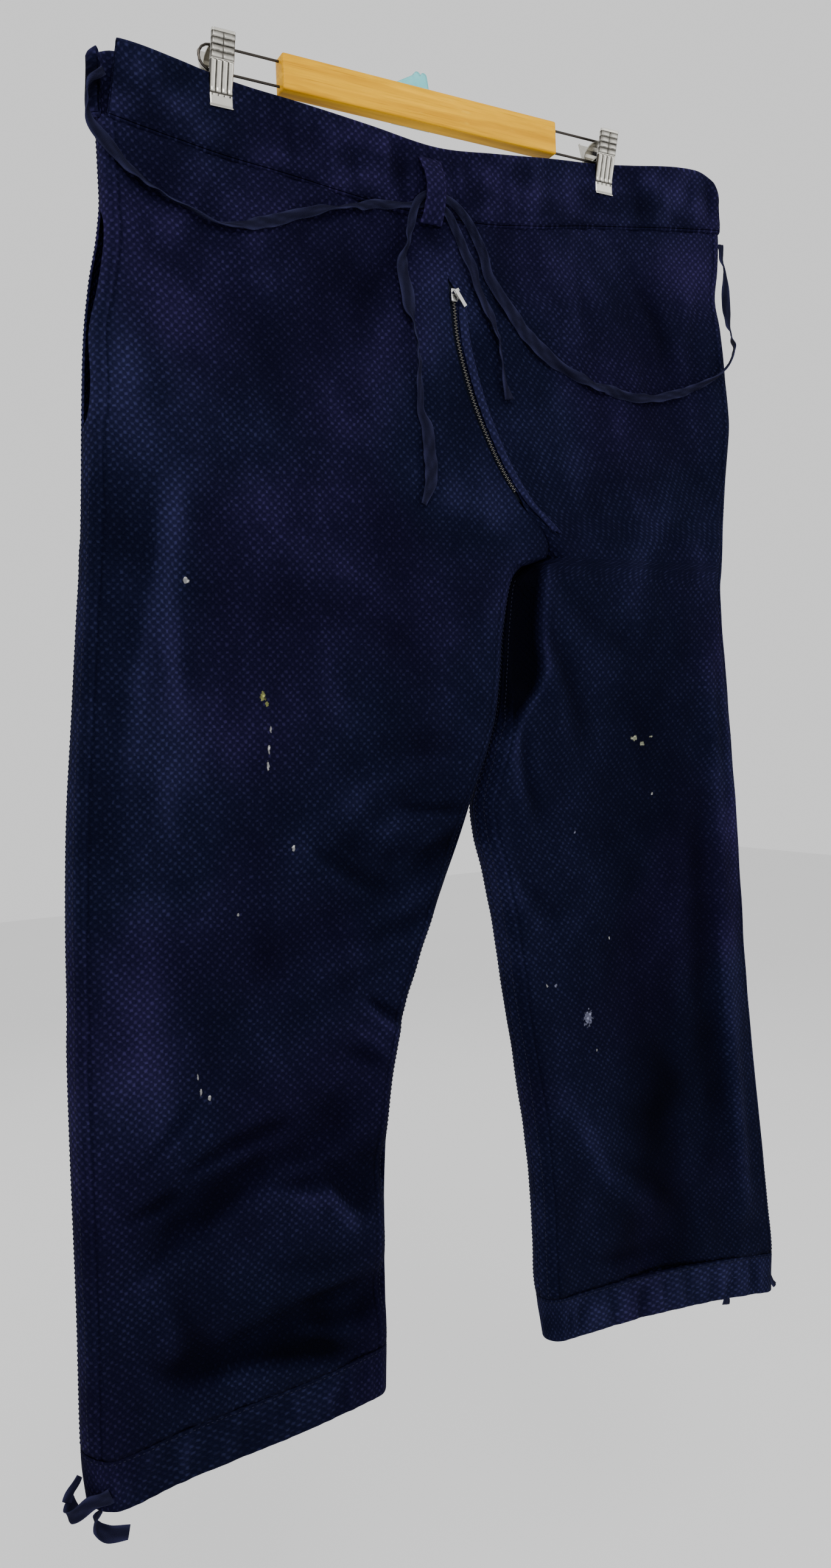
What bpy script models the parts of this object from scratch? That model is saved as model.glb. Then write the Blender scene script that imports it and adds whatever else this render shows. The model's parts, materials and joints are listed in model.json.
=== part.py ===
"""Drawstring trousers, hung by two clips from a wooden bar on a wall hook.

Metres, +Z up. The wall is the plane y = 0 and the trousers' front faces -Y. The origin is on
the wall, behind the middle of the bar. Left and right are as seen from the front. Heights in
the tables are distances down from the origin, so they grow towards the hems.
"""

import math

import bmesh
import bpy
import numpy as np
from mathutils import Vector

# Walls and gaps
GAP = 0.0003
CLOTH = 0.002
CASING = 0.004
HEM_WALL = 0.003
FACING = 0.0015

# Heights down from the origin
SEAM_DOWN = 0.0845
HEM_DOWN = 0.9645
CROTCH = 0.345
CROTCH_TURN = 0.050
CROTCH_GAP = 0.0014
CROTCH_GAP_DOWN = 0.338
CROTCH_GAP_LONG = 0.014
HEM_DEEP = 0.037

# Edges of each half: a row for each height, with the outer edge and the inner edge
LEFT_EDGES = (
    (0.040, -0.258, 0.002),
    (0.084, -0.257, 0.003),
    (0.110, -0.257, 0.007),
    (0.137, -0.260, 0.010),
    (0.170, -0.267, 0.011),
    (0.212, -0.273, 0.019),
    (0.266, -0.277, 0.039),
    (0.300, -0.279, 0.060),
    (0.332, -0.281, 0.092),
    (0.345, -0.282, 0.096),
    (0.352, -0.283, 0.072),
    (0.366, -0.284, 0.060),
    (0.395, -0.287, 0.053),
    (0.467, -0.294, 0.042),
    (0.527, -0.300, 0.0215),
    (0.563, -0.3025, 0.007),
    (0.614, -0.305, -0.0165),
    (0.665, -0.3065, -0.039),
    (0.691, -0.308, -0.0495),
    (0.747, -0.309, -0.0630),
    (0.791, -0.3095, -0.0700),
    (0.862, -0.310, -0.0745),
    (0.970, -0.312, -0.0765),
    (1.020, -0.308, -0.0800),
)
RIGHT_EDGES = (
    (0.040, 0.301, 0.002),
    (0.084, 0.297, 0.003),
    (0.110, 0.293, 0.007),
    (0.137, 0.298, 0.010),
    (0.170, 0.3015, 0.011),
    (0.212, 0.3035, 0.019),
    (0.266, 0.296, 0.039),
    (0.300, 0.291, 0.060),
    (0.332, 0.287, 0.092),
    (0.345, 0.286, 0.0960),
    (0.352, 0.2855, 0.0820),
    (0.366, 0.284, 0.0650),
    (0.395, 0.285, 0.0570),
    (0.467, 0.289, 0.0460),
    (0.500, 0.2915, 0.0360),
    (0.527, 0.293, 0.0260),
    (0.545, 0.294, 0.0215),
    (0.566, 0.2955, 0.0235),
    (0.594, 0.2975, 0.0305),
    (0.622, 0.299, 0.0355),
    (0.650, 0.3005, 0.0405),
    (0.707, 0.304, 0.0475),
    (0.765, 0.3085, 0.0565),
    (0.823, 0.314, 0.0640),
    (0.882, 0.3205, 0.0685),
    (0.940, 0.327, 0.0690),
    (0.985, 0.3315, 0.0735),
    (1.020, 0.3305, 0.0800),
)

# Front and back of the hanging cloth: a row for each height, with the y of each wall
CLOTH_DEPTHS = (
    (0.020, -0.029, -0.011),
    (0.080, -0.031, -0.010),
    (0.200, -0.036, -0.008),
    (0.345, -0.044, -0.006),
    (0.500, -0.043, -0.006),
    (0.800, -0.041, -0.007),
    (0.960, -0.037, -0.009),
    (1.020, -0.034, -0.011),
)

# Lines across the cloth: a row for each x, with the height down
WAIST_TOP = (
    (-0.263, 0.016),
    (-0.240, 0.006),
    (-0.203, 0.012),
    (-0.137, 0.021),
    (-0.050, 0.029),
    (0.005, 0.034),
    (0.063, 0.028),
    (0.132, 0.019),
    (0.200, 0.010),
    (0.270, 0.002),
    (0.290, 0.008),
    (0.304, 0.030),
)
WAIST_SEAM = (
    (-0.263, 0.058),
    (-0.222, 0.064),
    (-0.137, 0.074),
    (-0.050, 0.083),
    (0.030, 0.085),
    (0.092, 0.078),
    (0.163, 0.065),
    (0.240, 0.055),
    (0.304, 0.047),
)
LEFT_HEM = ((-0.315, 1.001), (-0.290, 1.010), (-0.240, 1.004), (-0.140, 0.997), (-0.075, 0.988))
RIGHT_HEM = ((0.078, 0.996), (0.155, 0.998), (0.255, 1.007), (0.340, 1.019))

# The casing: its open left end, its puckers and the turn of its back round that end
MIDDLE_X = -0.003
SLIT_X = -0.242
SLIT_SLANT = 0.009
BACK_LOWER = 0.002
RIPPLE_LONG = 0.024
RIPPLE_HIGH = 0.0011
CURL_X = -0.2485
CURL_SHARE = 0.93
CURL_ANGLE = math.radians(140)
CURL_OUT = 0.003
OPEN_EDGES = tuple((down, -0.5, inner) for down, _, inner in LEFT_EDGES)

# The hem casings' gathers
HEM_GATHER = 0.0008
HEM_GATHERS = 16
HEM_COLUMNS = 64
HEM_ROWS = (0.0, 0.5, 1.0)

# How the clips pinch both walls together
CLIP_X = (-0.168, 0.171)
PINCH_WIDE = 0.042
PINCH_DOWN = 0.030
PINCH_FADE = 0.055
PINCHED_HALF = 0.0046

# Large folds: a row for each, with x and height down where it starts and where it ends, its
# half width, and how far the cloth falls back there
FRONT_FOLDS = (
    (-0.205, 0.250, -0.262, 0.560, 0.024, -0.004),
    (-0.150, 0.640, 0.005, 0.560, 0.030, 0.006),
    (-0.240, 0.815, -0.120, 0.765, 0.020, 0.008),
    (-0.130, 0.795, -0.060, 0.820, 0.018, 0.008),
    (-0.235, 0.925, -0.085, 0.905, 0.018, 0.009),
    (0.165, 0.480, 0.195, 0.960, 0.045, 0.007),
    (0.257, 0.430, 0.284, 0.930, 0.014, -0.005),
    (0.090, 0.800, 0.190, 0.900, 0.020, -0.004),
    (0.190, 0.110, 0.250, 0.260, 0.030, 0.005),
    (-0.225, 0.095, -0.150, 0.200, 0.024, 0.004),
    (-0.020, 0.100, -0.110, 0.190, 0.026, 0.004),
    (0.072, 0.378, 0.067, 0.442, 0.010, 0.009),
)
BACK_FOLDS = (
    (-0.230, 0.500, -0.120, 0.420, 0.030, 0.003),
    (-0.250, 0.840, -0.110, 0.800, 0.024, 0.004),
    (0.120, 0.560, 0.240, 0.500, 0.030, 0.003),
    (0.120, 0.880, 0.280, 0.920, 0.024, 0.004),
)

# Fly and zip
FLY_TOP = 0.140
FLY_END = 0.296
ZIP_GAP = 0.006
ZIP_TAPE_WIDE = 0.022
ZIP_TAPE_THICK = 0.0010
ZIP_TAPE_BEHIND = 0.0028
TEETH_WIDE = 0.0042
TEETH_THICK = 0.0023
WELT_TOP = 0.153
WELT_WIDE = 0.0085
WELT_THICK = 0.0024
SLIDER_LONG = 0.010
SLIDER_WIDE = 0.0054
SLIDER_THICK = 0.0026
SLIDER_OFF = 0.0003
LUG_THICK = 0.0008
LUG_LONG = 0.0022
PIN_RADIUS = 0.0006
PULL_STAND = 0.0024
PULL_EYE = 0.0026
PULL_LONG = 0.0145
PULL_WIDE = 0.0030
PULL_THICK = 0.0010
PULL_TURN = math.radians(38)

# Side pockets
POCKET_TOP = 0.124
POCKET_END = 0.268
POCKET_OPEN = 0.005
POCKET_FACING_WIDE = 0.034
FACING_IN = 0.0034
FACING_START = 0.0018

# Belt loop
LOOP_WIDE = 0.017
LOOP_TOP = 0.043
LOOP_LONG = 0.050
LOOP_BOW = 0.0080
LOOP_THICK = 0.0018
LOOP_EASE = 0.0012
LOOP_X = -0.003

# Tapes
TAPE_THICK = 0.0012

# Routes of the drawstring's two stretches: a row for each point, with x, height down, lift off
# the cloth, width and turn in degrees
DRAWSTRING_LEFT = (
    (-0.2535, 0.033, 0.0048, 0.007, 20),
    (-0.2610, 0.040, 0.0130, 0.007, 40),
    (-0.2660, 0.052, 0.0105, 0.007, 60),
    (-0.2650, 0.064, 0.0105, 0.008, 40),
    (-0.2540, 0.080, 0.0060, 0.010, 20),
    (-0.2270, 0.100, 0.0035, 0.010, 20),
    (-0.2000, 0.113, 0.0035, 0.008, 30),
    (-0.1750, 0.121, 0.0035, 0.008, 30),
    (-0.1480, 0.117, 0.0035, 0.011, 10),
    (-0.1130, 0.104, 0.0035, 0.009, 20),
    (-0.0720, 0.091, 0.0035, 0.008, 20),
    (-0.0350, 0.083, 0.0034, 0.008, 10),
    (-0.0140, 0.0790, 0.0026, 0.007, 0),
    (-0.0030, 0.0775, 0.0026, 0.006, 0),
    (0.0080, 0.0800, 0.0030, 0.007, 0),
    (0.0170, 0.0940, 0.0040, 0.008, 0),
    (0.0250, 0.1120, 0.0045, 0.009, 0),
    (0.0330, 0.1320, 0.0045, 0.010, 10),
    (0.0430, 0.1560, 0.0045, 0.012, 10),
    (0.0520, 0.1800, 0.0045, 0.009, 10),
    (0.0545, 0.2020, 0.0045, 0.006, 10),
    (0.0580, 0.2220, 0.0045, 0.010, 10),
)
DRAWSTRING_RIGHT = (
    (0.3040, 0.056, 0.0020, 0.009, 70),
    (0.3075, 0.080, 0.0020, 0.009, 80),
    (0.3080, 0.110, 0.0030, 0.009, 80),
    (0.3060, 0.138, 0.0100, 0.009, 60),
    (0.2980, 0.160, 0.0120, 0.009, 40),
    (0.2800, 0.179, 0.0060, 0.009, 30),
    (0.2500, 0.194, 0.0040, 0.009, 20),
    (0.2180, 0.203, 0.0040, 0.009, 20),
    (0.1850, 0.208, 0.0040, 0.010, 10),
    (0.1550, 0.203, 0.0040, 0.010, 10),
    (0.1170, 0.193, 0.0040, 0.010, 20),
    (0.0880, 0.176, 0.0040, 0.013, 20),
    (0.0630, 0.150, 0.0040, 0.012, 20),
    (0.0460, 0.126, 0.0040, 0.010, 10),
    (0.0380, 0.102, 0.0040, 0.009, 10),
    (0.0260, 0.084, 0.0050, 0.008, 0),
    (0.0090, 0.0720, 0.0058, 0.007, 0),
    (-0.0030, 0.0700, 0.0058, 0.006, 0),
    (-0.0140, 0.0760, 0.0058, 0.007, 0),
    (-0.0205, 0.0900, 0.0058, 0.008, 0),
    (-0.0250, 0.1080, 0.0045, 0.009, 10),
    (-0.0300, 0.1300, 0.0040, 0.013, 10),
    (-0.0290, 0.1560, 0.0040, 0.014, 10),
    (-0.0240, 0.1750, 0.0040, 0.008, 20),
    (-0.0230, 0.2050, 0.0040, 0.006, 30),
    (-0.0240, 0.2350, 0.0040, 0.007, 20),
    (-0.0180, 0.2600, 0.0040, 0.013, 10),
    (-0.0190, 0.2850, 0.0040, 0.014, 10),
    (-0.0270, 0.3100, 0.0040, 0.007, 20),
)

# The ankle ties: rows as above, but with the y of each point instead of its lift
TIE_LEFT_END = (
    (-0.3137, 0.9836, -0.0230, 0.004, 0),
    (-0.3195, 0.9905, -0.0250, 0.007, 10),
    (-0.3235, 0.9975, -0.0260, 0.007, 10),
)
TIE_LEFT_CURL = (
    (-0.3022, 1.0064, -0.0325, 0.006, 80),
    (-0.3058, 1.0155, -0.0290, 0.009, 75),
    (-0.3035, 1.0230, -0.0255, 0.010, 50),
    (-0.2965, 1.0290, -0.0270, 0.011, 15),
    (-0.2830, 1.0320, -0.0280, 0.011, 0),
)
TIE_RIGHT_END = (
    (0.3331, 1.0050, -0.0210, 0.005, 60),
    (0.3375, 1.0130, -0.0215, 0.007, 40),
    (0.3405, 1.0190, -0.0230, 0.007, 30),
)
TIE_RIGHT_NUB = ((0.2700, 1.0096, -0.0325, 0.006, 0), (0.2690, 1.0155, -0.0322, 0.010, 0))
# The folded loop of the left ankle's tie: x, height down and y
TIE_LOOP = (
    (-0.2965, 0.9955, -0.0377),
    (-0.3080, 0.9975, -0.0370),
    (-0.3190, 1.0025, -0.0340),
    (-0.3240, 1.0050, -0.0285),
    (-0.3225, 1.0040, -0.0235),
    (-0.3165, 1.0015, -0.0205),
)
TIE_LOOP_WIDE = 0.011
TIE_LOOP_SIDE = (0.35, 0.0, -0.94)

# Hanger
BAR_LONG = 0.2425
BAR_HIGH = 0.0262
BAR_DEEP = 0.014
BAR_Y = -0.020
BAR_X = 0.0012
BAR_CHAMFER = 0.0014
WIRE_THICK = 0.0020
WIRE_HALF_GAP = 0.0090
WIRE_PAST = 0.0045
CLIP_WIDE = 0.0175
CLIP_TOP = 0.012
CLIP_LONG = 0.049
CLIP_LEAN_FROM = 0.036
CLIP_PLATE = 0.0014
CLIP_SPLAY = 0.0105
CLIP_LIP = 0.0012
SPRING_THICK = 0.0010
SPRING_LONG = 0.0120

# Wall hook and the eye on the bar
HOOK_WIDE = 0.034
HOOK_PLATE = 0.0030
HOOK_LOW = -0.0055
HOOK_HIGH = 0.024
TIP_WIDE = 0.0118
TIP_HIGH = 0.0385
TIP_X = 0.0093
PEG_REACH = 0.0070
PEG_THICK = 0.0038
PEG_TIP = 0.0028
PEG_LOW = -0.0055
PEG_TOP = 0.0060
PEG_WIDE = 0.0100
EYE_THICK = 0.0016
EYE_FAR = -0.0042
EYE_HIGH = 0.0030

COLOURS = {
    "indigo": ((0.030, 0.030, 0.105), 0.92, 0.0),
    "tape": ((0.045, 0.055, 0.120), 0.85, 0.0),
    "wood": ((0.560, 0.300, 0.070), 0.40, 0.0),
    "steel": ((0.560, 0.540, 0.500), 0.28, 1.0),
    "wire": ((0.200, 0.190, 0.180), 0.35, 1.0),
    "plastic": ((0.300, 0.720, 0.780), 0.25, 0.0),
}

# How finely the walls are divided: heights below the waist seam, and shares across a panel
FRONT_LEVELS = (0.0, 0.022, 0.0435, 0.0555, 0.085, 0.1155, 0.1405, 0.1655, 0.1855, 0.2035)
FRONT_LEVELS += (0.2195, 0.2355, 0.2495, 0.2605, 0.2685, 0.2815, 0.31, 0.35, 0.40, 0.45, 0.50)
FRONT_LEVELS += (0.55, 0.60, 0.65, 0.69, 0.73, 0.77, 0.81, 0.845, 0.88)
BACK_LEVELS = (0.0, 0.0435, 0.085, 0.1405, 0.1855, 0.2195, 0.2355, 0.2495, 0.2605, 0.2685, 0.2815)
BACK_LEVELS += (0.33, 0.40, 0.48, 0.56, 0.64, 0.72, 0.80, 0.88)
ACROSS = (0.0, 0.008, 0.026, 0.055, 0.10, 0.17, 0.26, 0.36, 0.46, 0.56, 0.66, 0.76, 0.85)
ACROSS += (0.92, 0.96, 0.985, 1.0)


def clear():
    """Removes every object that is in the file."""
    for thing in list(bpy.data.objects):
        bpy.data.objects.remove(thing)


def finish(name):
    """The material of that name, made the first time it is asked for."""
    if name in bpy.data.materials:
        return bpy.data.materials[name]
    colour, rough, metal = COLOURS[name]
    made = bpy.data.materials.new(name)
    made.use_nodes = True
    shader = made.node_tree.nodes["Principled BSDF"]
    shader.inputs["Base Color"].default_value = (*colour, 1.0)
    shader.inputs["Roughness"].default_value = rough
    shader.inputs["Metallic"].default_value = metal
    return made


def smooth(table, at, column=1):
    """A smooth curve through one column of a table, against its first column."""
    knots = np.array([row[0] for row in table])
    values = np.array([row[column] for row in table])
    step = np.diff(knots)
    slope = np.diff(values) / step
    lean = np.zeros_like(values)
    same = slope[:-1] * slope[1:] > 0
    lean[1:-1][same] = 2 * slope[:-1][same] * slope[1:][same] / (slope[:-1] + slope[1:])[same]
    lean[0], lean[-1] = slope[0], slope[-1]
    at = np.clip(at, knots[0], knots[-1])
    i = np.clip(np.searchsorted(knots, at) - 1, 0, len(step) - 1)
    t = (at - knots[i]) / step[i]
    rise = values[i] * (1 + 2 * t) * (1 - t) ** 2 + values[i + 1] * t * t * (3 - 2 * t)
    return rise + step[i] * (lean[i] * t * (1 - t) ** 2 - lean[i + 1] * t * t * (1 - t))


def ease(t):
    """0 to 1 along a soft S."""
    t = min(max(t, 0.0), 1.0)
    return t * t * (3 - 2 * t)


def round_edge(t):
    """How full a wall is at t radii from the edge it turns round: 0 at the edge, then 1."""
    t = min(max(t, 0.0), 1.0)
    return math.sqrt(1 - (1 - t) ** 2)


def crotch_turn(down):
    """0 where front and back stand apart at the middle, 1 where they have met."""
    t = min(max((down - CROTCH + CROTCH_TURN) / CROTCH_TURN, 0.0), 1.0)
    return 1 - math.sqrt(1 - t * t)


def fold_depth(folds, x, down):
    """How far the folds push the wall in at this place."""
    total = 0.0
    for x0, down0, x1, down1, wide, deep in folds:
        run = Vector((x1 - x0, down1 - down0))
        here = Vector((x - x0, down - down0))
        along = min(max(here.dot(run) / run.length_squared, 0.0), 1.0)
        away = (here - run * along).length / wide
        total += deep * math.exp(-away * away)
    return total


def pinch(x, down):
    """1 where a clip presses the walls together, fading to 0 away from it."""
    across = max(math.exp(-(((x - at) / PINCH_WIDE) ** 2)) for at in CLIP_X)
    below = max(down - PINCH_DOWN, 0.0) / PINCH_FADE
    return across * math.exp(-below * below)


def middle(down):
    """The y of the plane where front and back meet at the side seams."""
    return 0.5 * (float(smooth(CLOTH_DEPTHS, down, 1)) + float(smooth(CLOTH_DEPTHS, down, 2)))


def half_depth(edges, x, down):
    """Half the distance from the front wall to the back wall of one half."""
    outer = float(smooth(edges, down, 1))
    inner = float(smooth(edges, down, 2))
    full = 0.5 * float(smooth(CLOTH_DEPTHS, down, 2) - smooth(CLOTH_DEPTHS, down, 1))
    squeeze = pinch(x, down)
    full = full * (1 - squeeze) + PINCHED_HALF * squeeze
    shut = crotch_turn(down)
    inward = 1 if outer < inner else -1
    at_inner = 1 - shut + shut * round_edge((inner - x) * inward / full)
    return full * round_edge((x - outer) * inward / full) * at_inner


def wall_y(edges, side, x, down):
    """The y of a wall's outer face: side -1 is the front and 1 the back."""
    half = half_depth(edges, x, down)
    full = max(half, 1e-6)
    folds = FRONT_FOLDS if side < 0 else BACK_FOLDS
    soft = min(1.0, full / 0.010) ** 2
    return middle(down) + side * (half - soft * fold_depth(folds, x, down))


def level(share_down, line, hem, x):
    """The height down of a row: share_down metres below the waist seam, fitted to the hem."""
    top = float(smooth(line, x))
    end = float(smooth(hem, x)) - HEM_DEEP
    down = SEAM_DOWN + share_down
    near_top = ease(1 - share_down / 0.10)
    near_end = ease(1 - (HEM_DOWN - down) / 0.12)
    return down + (top - SEAM_DOWN) * near_top + (end - HEM_DOWN) * near_end


def new_object(name, mesh, material, smooth_angle=50):
    """Puts a finished bmesh into the scene under this name."""
    data = bpy.data.meshes.new(name)
    mesh.to_mesh(data)
    mesh.free()
    data.materials.append(finish(material))
    data.shade_smooth()
    data.set_sharp_from_angle(angle=math.radians(smooth_angle))
    made = bpy.data.objects.new(name, data)
    bpy.context.scene.collection.objects.link(made)
    return made


def cloth(name, place, across, along, thick, material="indigo", ring=False, flip=False, lean=None):
    """A wall: a grid bent to place(u, v), and a second skin laid inside it by its thickness.

    lean(u, v, place, normal) gives the direction of the thickness where it isn't the normal.
    """
    mesh = bmesh.new()
    columns, rows = len(across) - 1, len(along) - 1
    bmesh.ops.create_grid(mesh, x_segments=columns, y_segments=rows, size=0.5)
    where = {}
    for vert in mesh.verts:
        u = across[round((vert.co.x + 0.5) * columns)]
        v = along[round((vert.co.y + 0.5) * rows)]
        where[vert] = (u, v)
        vert.co = place(u, v)
    if ring:
        bmesh.ops.remove_doubles(mesh, verts=mesh.verts, dist=1e-6)
    if flip:
        bmesh.ops.reverse_faces(mesh, faces=mesh.faces)
    mesh.normal_update()
    skin = list(mesh.verts)
    rim = [edge for edge in mesh.edges if edge.is_boundary]
    copied = bmesh.ops.duplicate(mesh, geom=mesh.verts[:] + mesh.edges[:] + mesh.faces[:])
    inner = {vert: copied["vert_map"][vert] for vert in skin}
    for vert in skin:
        normal = vert.normal.copy()
        if lean:
            normal = lean(*where[vert], vert.co, normal)
        inner[vert].co = vert.co - normal * thick
    bmesh.ops.reverse_faces(mesh, faces=[f for f in copied["geom"] if isinstance(f, bmesh.types.BMFace)])
    for edge in rim:
        a, b = (loop.vert for loop in (edge.link_loops[0], edge.link_loops[0].link_loop_next))
        mesh.faces.new((b, a, inner[a], inner[b]))
    return new_object(name, mesh, material)


def spread(count, start=0.0, end=1.0):
    """Even shares from start to end."""
    return [start + (end - start) * i / count for i in range(count + 1)]


def zip_opening(down):
    """How far the right front stands off the middle line beside the zip."""
    return ZIP_GAP * ease((down - FLY_TOP + 0.012) / 0.012) * ease((FLY_END + 0.02 - down) / 0.02)


def pocket_opening(down):
    """How far a front's outer edge stands in from the side, along the pocket."""
    share = (down - POCKET_TOP) / (POCKET_END - POCKET_TOP)
    if not 0.0 < share < 1.0:
        return 0.0
    nearly_shut = 1 - 0.7 * math.exp(-(((share - 0.58) / 0.2) ** 2))
    return POCKET_OPEN * math.sin(math.pi * share) ** 0.5 * nearly_shut


def front_y(x, down):
    """The y of the front of the cloth at this place, on either half."""
    edges = LEFT_EDGES if x < float(smooth(LEFT_EDGES, down, 2)) else RIGHT_EDGES
    return wall_y(edges, -1, x, down)


def panel(name, edges, hem, side):
    """One front or back panel, from the waist seam to the hem casing."""
    hand = 1 if edges is RIGHT_EDGES else -1

    def place(u, v):
        rough_down = SEAM_DOWN + v
        outer = float(smooth(edges, rough_down, 1))
        inner = float(smooth(edges, rough_down, 2))
        down = level(v, WAIST_SEAM, hem, outer + (inner - outer) * u)
        outer = float(smooth(edges, down, 1))
        inner = float(smooth(edges, down, 2)) + hand * GAP / 2
        if hand > 0:
            inner += CROTCH_GAP * math.exp(-(((down - CROTCH_GAP_DOWN) / CROTCH_GAP_LONG) ** 2))
        if side < 0:
            inner += zip_opening(down) if hand > 0 else 0.0
            outer -= hand * pocket_opening(down)
        x = outer + (inner - outer) * u
        y = wall_y(edges, side, x, down)
        y = min(y, middle(down) - GAP / 2) if side < 0 else max(y, middle(down) + GAP / 2)
        return Vector((x, y, -down))

    def lean(u, v, at, normal):
        down = -at.z
        if u == 0.0 and not (side < 0 and pocket_opening(down)):
            normal.y = 0.0
        elif u == 1.0 and down > CROTCH:
            normal.y = 0.0
        elif u == 1.0:
            turned = min(max((down - CROTCH + CROTCH_TURN) / CROTCH_TURN, 0.0), 1.0)
            seam = float(smooth(edges, down, 2) - smooth(edges, down - CLOTH * turned, 2))
            return Vector((seam / CLOTH, side * math.sqrt(1 - turned * turned), -turned))
        if v in (0.0, FRONT_LEVELS[-1]):
            normal.z = 0.0
        return normal.normalized()

    levels = FRONT_LEVELS if side < 0 else BACK_LEVELS
    return cloth(name, place, ACROSS, levels, CLOTH, flip=(side * hand > 0), lean=lean)


def band_ripple(x):
    """The soft puckers that the drawstring gathers into the casing, flat under the clips."""
    wave = math.sin(2 * math.pi * x / RIPPLE_LONG + 1.5 * math.sin(x / 0.037))
    return RIPPLE_HIGH * wave * (1 - pinch(x, 0.0))


def band_down(x, v, lower):
    """Height down of a place on the casing: v runs from its top fold to its seam."""
    top = float(smooth(WAIST_TOP, x)) + lower
    seam = float(smooth(WAIST_SEAM, x)) - GAP
    return top + (seam - top) * v


def band_front(name, x0, x1):
    """One front half of the waistband casing, between two x."""

    def place(u, v):
        x = x0 + (x1 - x0) * u
        if x0 < -0.2:
            x -= SLIT_SLANT * v * (1 - u) ** 6
        down = band_down(x, v, 0.0)
        y = wall_y(RIGHT_EDGES if x > 0 else OPEN_EDGES, -1, x, down) - band_ripple(x) * math.sin(math.pi * v)
        return Vector((x, min(y, middle(down) - GAP / 2), -down))

    def lean(u, v, at, normal):
        if u == 1.0 and x1 > 0.2:
            normal.y = 0.0
        if v == 1.0:
            normal.z = 0.0
        return normal.normalized()

    across = spread(22) if x1 < 0.2 else spread(20, 0.0, 0.95) + [0.972, 0.988, 0.996, 1.0]
    return cloth(name, place, across, spread(3), CASING, flip=True, lean=lean)


def band_back():
    """The back of the casing: from the right side, behind, and round the open left end."""
    right, turn_x = float(RIGHT_EDGES[0][1]), CURL_X

    def place(u, v):
        if u <= CURL_SHARE:
            x = right + (turn_x - right) * u / CURL_SHARE
            down = band_down(x, v, BACK_LOWER)
            y = wall_y(RIGHT_EDGES if x > 0 else OPEN_EDGES, 1, x, down)
            y += band_ripple(x + 0.013) * math.sin(math.pi * v) * 0.5
            return Vector((x, max(y, middle(down) + GAP / 2), -down))
        angle = (u - CURL_SHARE) / (1 - CURL_SHARE) * CURL_ANGLE
        start = band_down(turn_x, v, BACK_LOWER)
        radius = (wall_y(OPEN_EDGES, 1, turn_x, start) - wall_y(OPEN_EDGES, -1, turn_x, start)) / 2
        x = turn_x - (radius + CURL_OUT) * math.sin(angle)
        y = middle(start) + radius * math.cos(angle)
        return Vector((x, y, -band_down(x, v, BACK_LOWER)))

    def lean(u, v, at, normal):
        if u == 0.0:
            normal.y = 0.0
        if v == 1.0:
            normal.z = 0.0
        return normal.normalized()

    across = [0.0, 0.003, 0.010, 0.022] + spread(30, 0.04, CURL_SHARE)
    across += spread(7, CURL_SHARE, 1.0)[1:]
    return cloth("waistband_back", place, across, spread(3), CASING, flip=True, lean=lean)


def hem(name, edges, line):
    """The turned-up casing round one ankle, with its soft gathers."""

    def place(u, v):
        angle = 2 * math.pi * u
        rough = float(smooth(line, 0.0))
        outer = float(smooth(edges, rough, 1))
        inner = float(smooth(edges, rough, 2))
        side = -1 if u < 0.5 else 1
        share = 0.5 - 0.5 * math.cos(angle)
        x = outer + (inner - outer) * share
        down = float(smooth(line, x)) - (HEM_DEEP - GAP) * (1 - v)
        outer = float(smooth(edges, down, 1))
        inner = float(smooth(edges, down, 2))
        x = outer + (inner - outer) * share
        half = half_depth(edges, x, down)
        wave = HEM_GATHER * math.sin(2 * math.pi * HEM_GATHERS * u) * math.sin(math.pi * v) ** 0.5
        y = middle(down) + side * (half + wave * min(1.0, half / 0.008))
        return Vector((x, y, -down))

    def lean(u, v, at, normal):
        if v == 0.0:
            normal.z = 0.0
        return normal.normalized()

    flip = edges is LEFT_EDGES
    return cloth(name, place, spread(HEM_COLUMNS), HEM_ROWS, HEM_WALL, ring=True, flip=flip, lean=lean)


def belt_loop():
    """The loop that bows out over the middle of the casing and holds both tapes."""

    def place(u, v):
        x = LOOP_X + (u - 0.5) * LOOP_WIDE
        down = LOOP_TOP + LOOP_LONG * v
        off = GAP + LOOP_THICK + LOOP_BOW * math.sin(math.pi * v) ** 0.8
        return Vector((x, front_y(LOOP_X, down) - LOOP_EASE - off, -down))

    return cloth("belt_loop", place, spread(2), spread(12), LOOP_THICK, flip=True)


def fly_strip(name, start, end, left, wide, off, thick, material, roll=0.0, columns=2):
    """A strip that follows the zip: its outer face lies off metres in front of the cloth."""
    inside = [v for v in FRONT_LEVELS if start + 0.003 < SEAM_DOWN + v < end - 0.003]
    rows = [start - SEAM_DOWN, *inside, end - SEAM_DOWN]

    def place(u, v):
        down = SEAM_DOWN + v
        x = float(smooth(RIGHT_EDGES, down, 2)) + left + wide * u
        return Vector((x, front_y(x, down) - off - roll * math.sin(math.pi * u), -down))

    return cloth(name, place, spread(columns), rows, thick, material, flip=True)


def pocket_facing(name, edges):
    """What shows inside a side pocket: a strip inside the front's rounded edge."""
    hand = 1 if edges is RIGHT_EDGES else -1

    def place(u, v):
        down = POCKET_TOP - 0.004 + (POCKET_END - POCKET_TOP + 0.008) * v
        outer = float(smooth(edges, down, 1))
        full = middle(down) - float(smooth(CLOTH_DEPTHS, down, 1)) - FACING_IN
        into = FACING_START + POCKET_FACING_WIDE * u
        x = outer - hand * (FACING_IN + into)
        y = middle(down) - full * round_edge(into / full) + fold_depth(FRONT_FOLDS, x, down)
        return Vector((x, min(y, middle(down) - FACING), -down))

    return cloth(name, place, [0.0, 0.08, 0.2, 0.35, 0.65, 1.0], spread(6), FACING, flip=hand < 0)


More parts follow.
